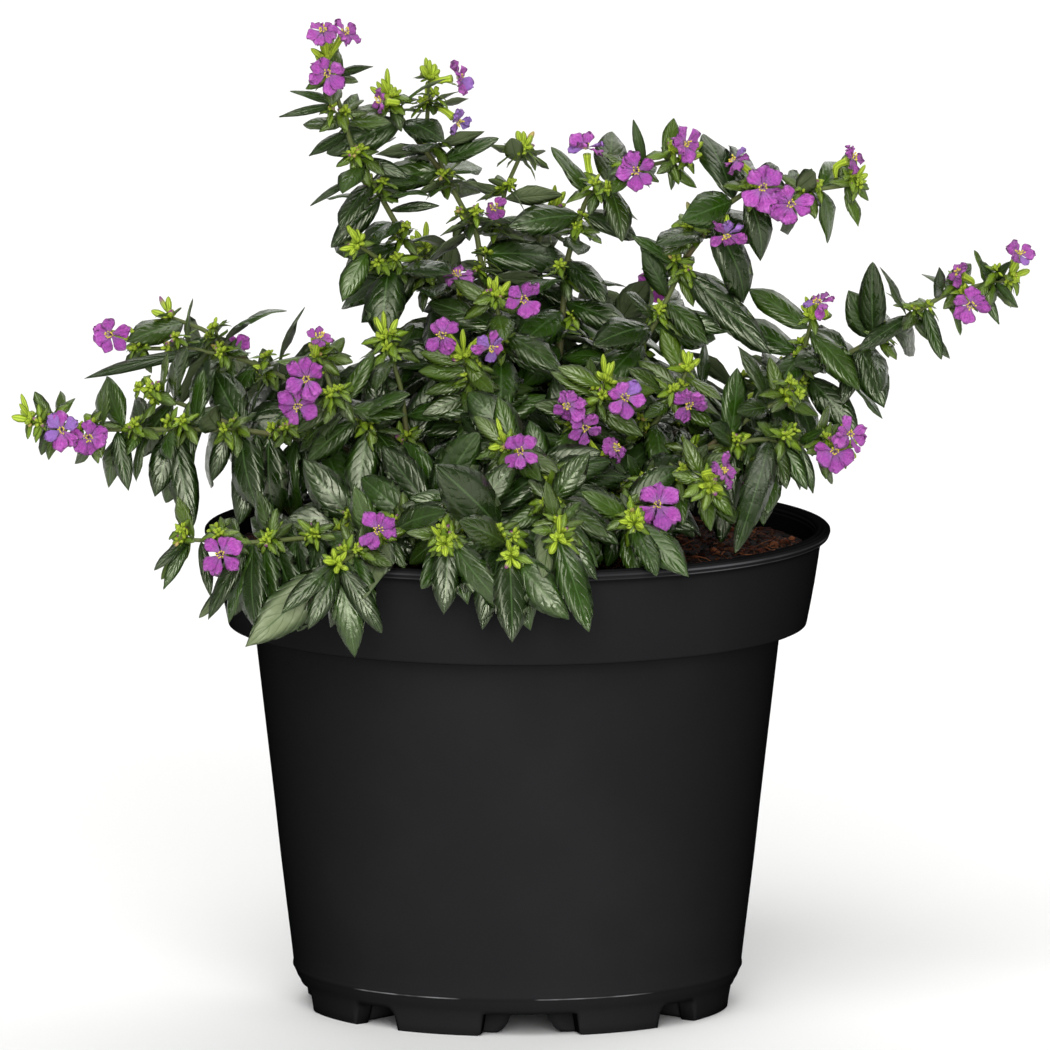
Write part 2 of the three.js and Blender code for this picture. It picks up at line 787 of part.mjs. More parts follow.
// The shoots of one stem, the first of them from the bottom of its hole in the soil
function shootsOf(stem) {
  const [x, y] = stem.root;
  const foot = place(x, y, SOIL_TOP - ROOT_DEPTH);
  const collar = place(x, y, SOIL_TOP + COLLAR_RISE);
  const main = new Shoot([foot, collar, ...stem.route], stem.radius, TIP_RADIUS);
  const sides = stem.shoots.map((route) => {
    const start = main.nearest(route[0]).point;
    return new Shoot([start, ...route.slice(1)], SIDE_SHOOT_RADIUS, TIP_RADIUS);
  });
  return [main, ...sides];
}

// The calyx tube that carries a bloom, from the nearest place on its stem
function calyxBody(flower, shoots) {
  const back = flower.middle.clone().addScaledVector(flower.looks, -THROAT_DEPTH);
  const reach = flower.name || flower.twinOf ? -SEAT_GAP : SEAT_GAP;
  const mouth = back.clone().addScaledVector(flower.looks, reach);
  const neck = mouth.clone().addScaledVector(flower.looks, -CALYX_LENGTH);
  const near = shoots.map((shoot) => shoot.nearest(neck)).sort((a, b) => a.gap - b.gap)[0];
  return stemBody([near.point, neck, mouth], TIP_RADIUS, CALYX_MOUTH_RADIUS, true);
}

// The distances along a shoot at which leaf pairs stand, closer towards the tip
function leafPlaces(shoot, isMain) {
  const places = [];
  let distance = isMain ? ROOT_DEPTH + FIRST_NODE : FIRST_SIDE_NODE;
  while (distance < shoot.length - TIP_INSET) {
    places.push(distance);
    distance += NODE_SPACING * (1 - NODE_CROWDING * (distance / shoot.length));
  }
  return places;
}

// The way that leaves turn their faces: up, and out of the bush to the front or back
function lightAt(point) {
  const side = THREE.MathUtils.clamp((point.y - LIGHT_PARTING) / LIGHT_PARTING, -1, 1);
  return new THREE.Vector3(point.x * LIGHT_SIDEWAYS, side * LIGHT_OUTWARD, LIGHT_RISE).normalize();
}

// One leaf drawn for a place on a shoot
function drawnLeaf(here, share, turn, shrink, draw) {
  const { level, raised } = squareTo(here.along);
  const light = lightAt(here.point);
  const about = turn + (draw() - 0.5) * LEAF_TURN_JITTER;
  const outward = level.clone().multiplyScalar(Math.cos(about)).addScaledVector(raised, Math.sin(about));
  outward.addScaledVector(light, -LEAF_DODGE * outward.dot(light)).normalize();
  const pitch = LEAF_PITCH + LEAF_PITCH_RANGE * draw();
  const young = Math.max(0, (share - YOUNG_FROM) / (1 - YOUNG_FROM));
  const sag = (LEAF_SAG + LEAF_SAG_RANGE * draw()) * (1 - young);
  const along = outward.clone().multiplyScalar(Math.sin(pitch))
    .addScaledVector(here.along, Math.cos(pitch))
    .addScaledVector(UP, -sag)
    .normalize();
  const above = light.clone().multiplyScalar(FACE_TO_LIGHT)
    .addScaledVector(here.along, FACE_TO_TIP)
    .addScaledVector(outward, FACE_OUTWARD);
  above.addScaledVector(along, -above.dot(along)).normalize();
  const roll = (draw() - 0.5) * LEAF_ROLL_JITTER;
  const across = new THREE.Vector3().crossVectors(along, above);
  above.multiplyScalar(Math.cos(roll)).addScaledVector(across, Math.sin(roll));
  const grown = LEAF_LENGTH * (1 - YOUNG_SHORTER * young);
  const length = grown * shrink * (LENGTH_LEAST + LENGTH_RANGE * draw());
  const width = length * (LEAF_SLENDERNESS - YOUNG_SLIMMER * young);
  const bend = (LEAF_BEND + LEAF_BEND_RANGE * draw()) * (1 - YOUNG_STRAIGHTER * young) + LEAST_BEND;
  const root = here.point.clone().addScaledVector(outward, ROOT_OFFSET);
  return { root, along, above, length, width, bend };
}

// Buds drawn round a place: spread wide in an axil, bunched at a tip
function drawnBuds(here, count, turn, spread, draw) {
  const { level, raised } = squareTo(here.along);
  const buds = [];
  for (let index = 0; index < count; index += 1) {
    const about = turn + index * GOLDEN_ANGLE + (draw() - 0.5) * BUD_TURN_JITTER;
    const lean = spread * 0.5 * (1 + draw()) * (index === 0 ? FIRST_BUD_LEAN : 1);
    const along = here.along.clone().multiplyScalar(Math.cos(lean))
      .addScaledVector(level, Math.sin(lean) * Math.cos(about))
      .addScaledVector(raised, Math.sin(lean) * Math.sin(about))
      .addScaledVector(UP, BUD_LIFT)
      .normalize();
    const length = BUD_LENGTH * (BUD_LENGTH_LEAST + BUD_LENGTH_RANGE * draw());
    const radius = BUD_RADIUS * (BUD_RADIUS_LEAST + BUD_RADIUS_RANGE * draw());
    const root = here.point.clone().addScaledVector(along, ROOT_OFFSET);
    buds.push({ root, along, length, radius });
  }
  return buds;
}

// Turns points and faces into a solid that can be joined and cut
function solidOf(body) {
  const geometry = new THREE.BufferGeometry();
  const numbers = body.points.flatMap((point) => point.toArray());
  geometry.setAttribute('position', new THREE.Float32BufferAttribute(numbers, 3));
  geometry.setIndex(body.faces.flat());
  return solidFrom(geometry);
}

// Turns a closed three.js geometry into a solid
function solidFrom(geometry) {
  const bare = geometry.clone();
  bare.deleteAttribute('normal');
  bare.deleteAttribute('uv');
  const merged = mergeVertices(bare, 1e-4);
  return new wasm.Manifold(new wasm.Mesh({
    numProp: 3,
    vertProperties: new Float32Array(merged.attributes.position.array),
    triVerts: new Uint32Array(merged.index.array),
  }));
}

// A named mesh in its finish
function meshFrom(name, solid, finish) {
  const { vertProperties, triVerts, numProp } = solid.getMesh();
  const positions = new Float32Array((vertProperties.length / numProp) * 3);
  for (let index = 0; index < positions.length / 3; index += 1) {
    positions.set(vertProperties.subarray(index * numProp, index * numProp + 3), index * 3);
  }
  const geometry = new THREE.BufferGeometry();
  geometry.setAttribute('position', new THREE.BufferAttribute(positions, 3));
  geometry.setIndex(new THREE.BufferAttribute(new Uint32Array(triVerts), 1));
  geometry.computeVertexNormals();
  const mesh = new THREE.Mesh(geometry, new THREE.MeshStandardMaterial(finish));
  mesh.name = name;
  return mesh;
}

// A turned shape about +Z from a closed outline of [radius, height] pairs
function turned(outline, segments) {
  const profile = outline.map(([radius, height]) => new THREE.Vector2(radius, height));
  const geometry = new THREE.LatheGeometry(profile, segments);
  geometry.rotateX(Math.PI / 2);
  return solidFrom(geometry);
}

// The pot: foot ring, tapered body, wider collar and a rolled lip
function potSolid() {
  const lipInner = COLLAR_TOP_RADIUS - WALL;
  const outline = [
    [0, FLOOR_BOTTOM],
    [FOOT_INNER_RADIUS, FLOOR_BOTTOM],
    [FOOT_INNER_RADIUS + FOOT_DRAFT, 0],
    [FOOT_RADIUS, 0],
    [FOOT_RADIUS + FOOT_DRAFT, FOOT_HEIGHT],
    [BODY_BOTTOM_RADIUS, BODY_BOTTOM],
    [BODY_TOP_RADIUS, COLLAR_BOTTOM],
    [COLLAR_BOTTOM_RADIUS, COLLAR_BOTTOM],
    [COLLAR_TOP_RADIUS, COLLAR_TOP],
    [LIP_RADIUS, LIP_TOP - LIP_DEPTH],
    [LIP_RADIUS - LIP_ROUNDING, LIP_TOP],
    [lipInner, LIP_TOP],
    [lipInner, COLLAR_TOP],
    [COLLAR_BOTTOM_RADIUS - WALL, COLLAR_BOTTOM + WALL],
    [BODY_TOP_RADIUS - WALL, COLLAR_BOTTOM + WALL],
    [BODY_BOTTOM_RADIUS - WALL, FLOOR_TOP],
    [0, FLOOR_TOP],
  ];
  let pot = turned(outline, POT_SEGMENTS);
  for (let index = 0; index < NOTCH_COUNT; index += 1) {
    pot = pot.subtract(notchCutter(NOTCH_TURN + (index * 2 * Math.PI) / NOTCH_COUNT));
  }
  for (let index = 0; index < DRAIN_COUNT; index += 1) {
    const turn = Math.PI / 4 + (index * 2 * Math.PI) / DRAIN_COUNT;
    const cutter = new THREE.CylinderGeometry(DRAIN_RADIUS, DRAIN_RADIUS, DRAIN_CUT, DRAIN_SIDES);
    cutter.rotateX(Math.PI / 2);
    cutter.translate(DRAIN_CIRCLE * Math.cos(turn), DRAIN_CIRCLE * Math.sin(turn), FLOOR_BOTTOM);
    pot = pot.subtract(solidFrom(cutter));
  }
  return pot;
}

// A wedge-sided block that cuts one notch through the foot ring
function notchCutter(turn) {
  const slope = (NOTCH_WIDTH_BELOW - NOTCH_WIDTH_ABOVE) / 2 / NOTCH_HEIGHT;
  const halfBelow = NOTCH_WIDTH_BELOW / 2 + NOTCH_BELOW * slope;
  const shape = new THREE.Shape([
    new THREE.Vector2(-halfBelow, -NOTCH_BELOW),
    new THREE.Vector2(halfBelow, -NOTCH_BELOW),
    new THREE.Vector2(NOTCH_WIDTH_ABOVE / 2, NOTCH_HEIGHT),
    new THREE.Vector2(-NOTCH_WIDTH_ABOVE / 2, NOTCH_HEIGHT),
  ]);
  const geometry = new THREE.ExtrudeGeometry(shape, { depth: NOTCH_REACH, bevelEnabled: false });
  geometry.rotateX(Math.PI / 2);
  geometry.translate(0, -FOOT_RADIUS + NOTCH_REACH / 2, 0);
  geometry.rotateZ(turn);
  return solidFrom(geometry);
}

// The soil: it follows the pot's inside, and its top is a little uneven
function soilSolid() {
  const bottomRadius = BODY_BOTTOM_RADIUS - WALL - SEAT_GAP;
  const bodyTopRadius = BODY_TOP_RADIUS - WALL - SEAT_GAP;
  const collarRadius = COLLAR_BOTTOM_RADIUS - WALL - SEAT_GAP;
  const shoulder = COLLAR_BOTTOM + WALL + SEAT_GAP;
  const slope = (COLLAR_TOP_RADIUS - COLLAR_BOTTOM_RADIUS) / (COLLAR_TOP - COLLAR_BOTTOM);
  const edgeRadius = collarRadius + slope * (SOIL_TOP - shoulder) - SEAT_GAP;
  const outline = [
    [0, FLOOR_TOP + SEAT_GAP],
    [bottomRadius, FLOOR_TOP + SEAT_GAP],
    [bodyTopRadius, shoulder],
    [collarRadius, shoulder],
    [edgeRadius, SOIL_TOP - SOIL_EDGE_DROP],
    ...SOIL_RINGS.map((radius) => [radius, SOIL_TOP]),
    [0, SOIL_TOP],
  ];
  const profile = outline.map(([radius, height]) => new THREE.Vector2(radius, height));
  const geometry = new THREE.LatheGeometry(profile, SOIL_SEGMENTS);
  geometry.rotateX(Math.PI / 2);
  const position = geometry.attributes.position;
  for (let index = 0; index < position.count; index += 1) {
    const x = position.getX(index);
    const y = position.getY(index);
    if (position.getZ(index) > SOIL_TOP - SOIL_EDGE_DROP / 2) {
      const ripple = Math.sin(x * RIPPLE_ACROSS + 1) * Math.cos(y * RIPPLE_DEEP);
      position.setZ(index, SOIL_TOP + SOIL_RIPPLE * ripple);
    }
  }
  let soil = solidFrom(geometry);
  for (const stem of STEMS) {
    soil = soil.subtract(holeCutter(stem));
  }
  return soil;
}

// A plain hole in the soil for one stem
function holeCutter(stem) {
  const radius = (stem.radius + SEAT_GAP) / Math.cos(Math.PI / HOLE_SIDES);
  const height = ROOT_DEPTH + SEAT_GAP + HOLE_RISE;
  const cutter = new THREE.CylinderGeometry(radius, radius, height, HOLE_SIDES);
  cutter.rotateX(Math.PI / 2);
  cutter.translate(stem.root[0], stem.root[1], SOIL_TOP - ROOT_DEPTH - SEAT_GAP + height / 2);
  return solidFrom(cutter);
}

// Grows every organ in turn: wood, blooms, buds, then leaves in what room is left
function growPlant() {
  const thicket = new Thicket();
  const plants = STEMS.map((stem) => ({ stem, shoots: shootsOf(stem), bodies: [] }));
  const blooms = new Map();

  for (const [owner, plant] of plants.entries()) {
    for (const [shootIndex, shoot] of plant.shoots.entries()) {
      const wood = stemBody(shoot.route, shoot.startRadius, shoot.endRadius, shootIndex > 0);
      plant.bodies.push(wood);
      thicket.place(wood, owner, shootIndex, 'wood');
    }
    for (const flower of plant.stem.blooms) {
      const calyx = calyxBody(flower, plant.shoots);
      const open = bloomBody(flower, 0);
      plant.bodies.push(calyx);
      thicket.place(calyx, owner, -1, 'wood');
      thicket.place(open, owner, -1, 'bloom');
      const name = flower.name ?? flower.twinOf;
      if (name) {
        blooms.set(name, [...(blooms.get(name) ?? []), open]);
      } else {
        plant.bodies.push(open);
      }
    }
  }

  const tryOrgan = (plant, owner, slot, kind, makeBody) => {
    if (!thicket.isClear(makeBody(CLEARANCE), owner, slot)) {
      return false;
    }
    const body = makeBody(0);
    plant.bodies.push(body);
    thicket.place(body, owner, slot, kind);
    return true;
  };

  for (const [owner, plant] of plants.entries()) {
    plant.shoots.forEach((shoot, shootIndex) => {
      const isMain = shootIndex === 0;
      const places = leafPlaces(shoot, isMain);
      const tipSlot = shootIndex * SLOTS_PER_SHOOT + TIP_SLOT;
      const draw = seededDraw(SEED + owner * OWNER_STRIDE + shootIndex * SHOOT_STRIDE);
      const tip = shoot.at(shoot.length - TIP_INSET);
      for (const bud of drawnBuds(tip, TIP_BUDS, owner, TIP_SPREAD, draw)) {
        tryOrgan(plant, owner, tipSlot, 'bud', (extra) => budBody(bud, extra));
      }
      places.forEach((distance, index) => {
        if ((index + owner) % AXIL_EVERY !== 0 || distance < shoot.length * AXIL_FROM) {
          return;
        }
        const slot = shootIndex * SLOTS_PER_SHOOT + index;
        const axil = shoot.at(distance + AXIL_OFFSET);
        for (const bud of drawnBuds(axil, AXIL_BUDS, index, AXIL_SPREAD, draw)) {
          tryOrgan(plant, owner, slot, 'bud', (extra) => budBody(bud, extra));
        }
      });
    });
  }

  for (const [owner, plant] of plants.entries()) {
    plant.shoots.forEach((shoot, shootIndex) => {
      leafPlaces(shoot, shootIndex === 0).forEach((distance, index) => {
        const slot = shootIndex * SLOTS_PER_SHOOT + index;
        for (const side of [0, 1]) {
          const here = shoot.at(distance + (side === 0 ? PAIR_OFFSET : -PAIR_OFFSET));
          const draw = seededDraw(SEED + owner * OWNER_STRIDE + slot * SLOT_STRIDE + side * SIDE_STRIDE);
          const turn = owner + (index * Math.PI) / 2 + side * Math.PI;
          for (let attempt = 0; attempt < LEAF_TRIES; attempt += 1) {
            const leaf = drawnLeaf(here, distance / shoot.length, turn, 1 - TRY_SHRINK * attempt, draw);
            if (tryOrgan(plant, owner, slot, 'leaf', (extra) => leafBody(leaf, extra))) {
              break;
            }
          }
        }
      });
    });
  }
  return { plants, blooms };
}

// Bodies fused into one
function joined(bodies) {
  return bodies.map(solidOf).reduce((whole, part) => whole.add(part));
}

const group = new THREE.Group();
group.add(meshFrom('pot', potSolid(), FINISHES.plastic));
group.add(meshFrom('soil', soilSolid(), FINISHES.peat));
const { plants, blooms } = growPlant();
for (const { stem, bodies } of plants) {
  group.add(meshFrom(stem.name, joined(bodies), FINISHES.foliage));
}
for (const [name, bodies] of blooms) {
  group.add(meshFrom(name, joined(bodies), FINISHES.petal));
}

export default group;
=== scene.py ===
"""Mexican heather in a black nursery pot, dressed over its fixed frame.

The solids in the frame give every stem, large leaf, bud and bloom its place. The rule
that placed them is worked through again here, so each fine piece lies on its solid,
and smaller leaves, leafy side twigs and lime buds then grow in the room that is left.

Growth is worked out in millimetres and meshes are made in metres. +Z is up, the front
is towards -Y and the origin is the middle of the pot's foot.
"""

import logging
import math
from dataclasses import dataclass, field
from enum import Enum

import bpy
import numpy as np
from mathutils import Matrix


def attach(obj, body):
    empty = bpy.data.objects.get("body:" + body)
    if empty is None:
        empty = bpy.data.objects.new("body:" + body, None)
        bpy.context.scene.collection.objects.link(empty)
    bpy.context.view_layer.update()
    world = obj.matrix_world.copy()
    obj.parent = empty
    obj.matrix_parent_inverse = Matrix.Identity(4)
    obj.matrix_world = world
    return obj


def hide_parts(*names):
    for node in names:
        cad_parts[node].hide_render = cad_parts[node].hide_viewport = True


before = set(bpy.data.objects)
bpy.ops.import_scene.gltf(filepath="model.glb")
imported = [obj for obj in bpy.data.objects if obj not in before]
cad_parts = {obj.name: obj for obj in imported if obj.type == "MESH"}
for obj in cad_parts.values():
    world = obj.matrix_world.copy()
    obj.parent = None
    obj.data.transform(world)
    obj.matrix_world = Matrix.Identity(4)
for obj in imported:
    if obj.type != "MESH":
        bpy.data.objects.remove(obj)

Vector3 = np.ndarray
Colour = tuple[int, int, int]

LOG = logging.getLogger("mexican_heather")
MILLIMETRE = 0.001
UP = np.array([0.0, 0.0, 1.0])
GOLDEN_ANGLE = math.radians(137.5)

# The pot and the soil, in millimetres
LIP_RADIUS = 100.0
LIP_TOP = 154.0
WALL = 1.7
COLLAR_TOP_RADIUS = 97.0
COLLAR_BOTTOM = 123.0
COLLAR_BOTTOM_RADIUS = 92.5
FOOT_RADIUS = 68.1
FLOOR_BOTTOM = 9.0
FLOOR_TOP = 11.0
NOTCH_COUNT = 8
NOTCH_TURN = math.radians(3.5)
NOTCH_HEIGHT = 7.4
DRAIN_COUNT = 4
DRAIN_RADIUS = 5.0
DRAIN_CIRCLE = 42.0
SOIL_TOP = 146.0
SOIL_RIPPLE = 0.9
SEAT_GAP = 0.3

# How the solids grew, in millimetres, radians and shares of one
VIEW_TILT = math.radians(8.5)
ROOT_DEPTH = 22.0
COLLAR_RISE = 3.0
TIP_RADIUS = 0.65
SIDE_SHOOT_RADIUS = 0.95
TIP_INSET = 1.0
ROUTE_SAMPLES = 60
STEM_SIDES = 3
SEED = 4127
OWNER_STRIDE = 7919
SHOOT_STRIDE = 911
SLOT_STRIDE = 31
SIDE_STRIDE = 17
SLOTS_PER_SHOOT = 100
TIP_SLOT = 99
NODE_SPACING = 22.0
NODE_CROWDING = 0.45
FIRST_NODE = 11.0
FIRST_SIDE_NODE = 10.0
LEAF_LENGTH = 28.0
LEAF_SLENDERNESS = 0.39
LEAF_THICKNESS = 1.2
LARGE_LEAF = 29.0
LARGE_LEAF_STATIONS = ((0.27, 0.82), (0.54, 1.0), (0.8, 0.66))
SMALL_LEAF_STATIONS = ((0.34, 0.95), (0.7, 0.84))
LEAF_TRIES = 9
TRY_SHRINK = 0.055
CLEARANCE = 0.35
POT_CLEARANCE = 0.8
EDGE_SAMPLES = 6
ROOT_OFFSET = 0.05
PAIR_OFFSET = 0.45
AXIL_OFFSET = 1.6
LIGHT_PARTING = 12.0
LIGHT_RISE = 0.6
LIGHT_OUTWARD = 0.8
LIGHT_SIDEWAYS = 0.003
LEAF_TURN_JITTER = 0.7
LEAF_DODGE = 0.6
LEAF_PITCH = 0.9
LEAF_PITCH_RANGE = 0.45
LEAF_SAG = 0.1
LEAF_SAG_RANGE = 0.45
LEAF_ROLL_JITTER = 0.7
FACE_TO_LIGHT = 0.8
FACE_TO_TIP = 0.35
FACE_OUTWARD = 0.1
YOUNG_FROM = 0.55
YOUNG_SHORTER = 0.5
YOUNG_SLIMMER = 0.05
LENGTH_LEAST = 0.85
LENGTH_RANGE = 0.3
LEAST_BEND = 0.1
LEAF_BEND = 0.3
LEAF_BEND_RANGE = 0.8
YOUNG_STRAIGHTER = 0.6
BUD_LENGTH = 7.5
BUD_RADIUS = 1.5
BUD_SIDES = 3
TIP_BUDS = 2
AXIL_BUDS = 1
AXIL_EVERY = 3
AXIL_FROM = 0.35
BUD_TURN_JITTER = 0.5
FIRST_BUD_LEAN = 0.4
BUD_LIFT = 0.25
BUD_LENGTH_LEAST = 0.8
BUD_LENGTH_RANGE = 0.35
BUD_RADIUS_LEAST = 0.85
BUD_RADIUS_RANGE = 0.3
BUD_WIDEST = 0.68
TIP_SPREAD = 0.95
AXIL_SPREAD = 1.25
PETALS = 6
PETAL_HALF_THICKNESS = 0.45
PETAL_WAVE = 0.5
PETAL_BREADTH = 0.3
PETAL_MIDDLE = 0.62
THROAT_RADIUS = 1.5
THROAT_DEPTH = 1.5
STAMEN_HEIGHT = 1.3
CALYX_LENGTH = 5.5
CALYX_MOUTH_RADIUS = 1.25

# Where the draws of the finer growth start, counted on from the seed, and its places
SEEN_DRAWS = 71
HANGING_DRAWS = 53
FILL_DRAWS = 17
TWIG_DRAWS = 29
BUNCH_DRAWS = 41
SEEN_SLOT = 28
HANGING_SLOT = 30
FILL_SLOT = 50


def unit(vector: np.ndarray) -> np.ndarray:
    """Vectors divided by their own lengths.

    Args:
        vector: one vector, or an array of them along its last axis.

    Returns:
        The same array with every vector one long.
    """
    return vector / np.linalg.norm(vector, axis=-1, keepdims=True)


def seen(across: float, up: float, depth: float) -> Vector3:
    """A place given as the front view shows it, the eye a little above it.

    Args:
        across: distance to the right of the pot's axis.
        up: height above the foot's middle in the view's own plane.
        depth: distance along +Y.

    Returns:
        The place: its height is (up - depth sin tilt) / cos tilt.
    """
    height = (up - depth * math.sin(VIEW_TILT)) / math.cos(VIEW_TILT)
    return np.array([across, depth, height], dtype=float)


def place(x: float, y: float, z: float) -> Vector3:
    """A place in the pot's own axes."""
    return np.array([x, y, z], dtype=float)


def facing(yaw_degrees: float, pitch_degrees: float) -> Vector3:
    """The way a bloom looks: yaw 0 is to the front, positive to the right."""
    yaw = math.radians(yaw_degrees)
    pitch = math.radians(pitch_degrees)
    level = math.cos(pitch)
    return np.array([math.sin(yaw) * level, -math.cos(yaw) * level, math.sin(pitch)])


@dataclass(frozen=True)
class Flower:
    """One open flower: its middle, the way it looks and its width.

    A named flower is a piece of its own, joined by those that are its twin. One with
    neither is small or fading, and belongs to its stem.
    """

    name: str | None
    middle: Vector3
    looks: Vector3
    width: float
    twin_of: str | None = None


def bloom(
    name: str | None, middle: Vector3, looks: Vector3, width: float, twin_of: str | None = None
) -> Flower:
    """A flower written shortly, for the list of stems."""
    return Flower(name, middle, looks, width, twin_of)


@dataclass(frozen=True)
class StemPlan:
    """Where one leafy stem stands, the route it takes, its side shoots and flowers."""

    name: str
    root: list[float]
    route: list[Vector3]
    shoots: list[list[Vector3]] = field(default_factory=list)
    blooms: list[Flower] = field(default_factory=list)
    radius: float = 1.3


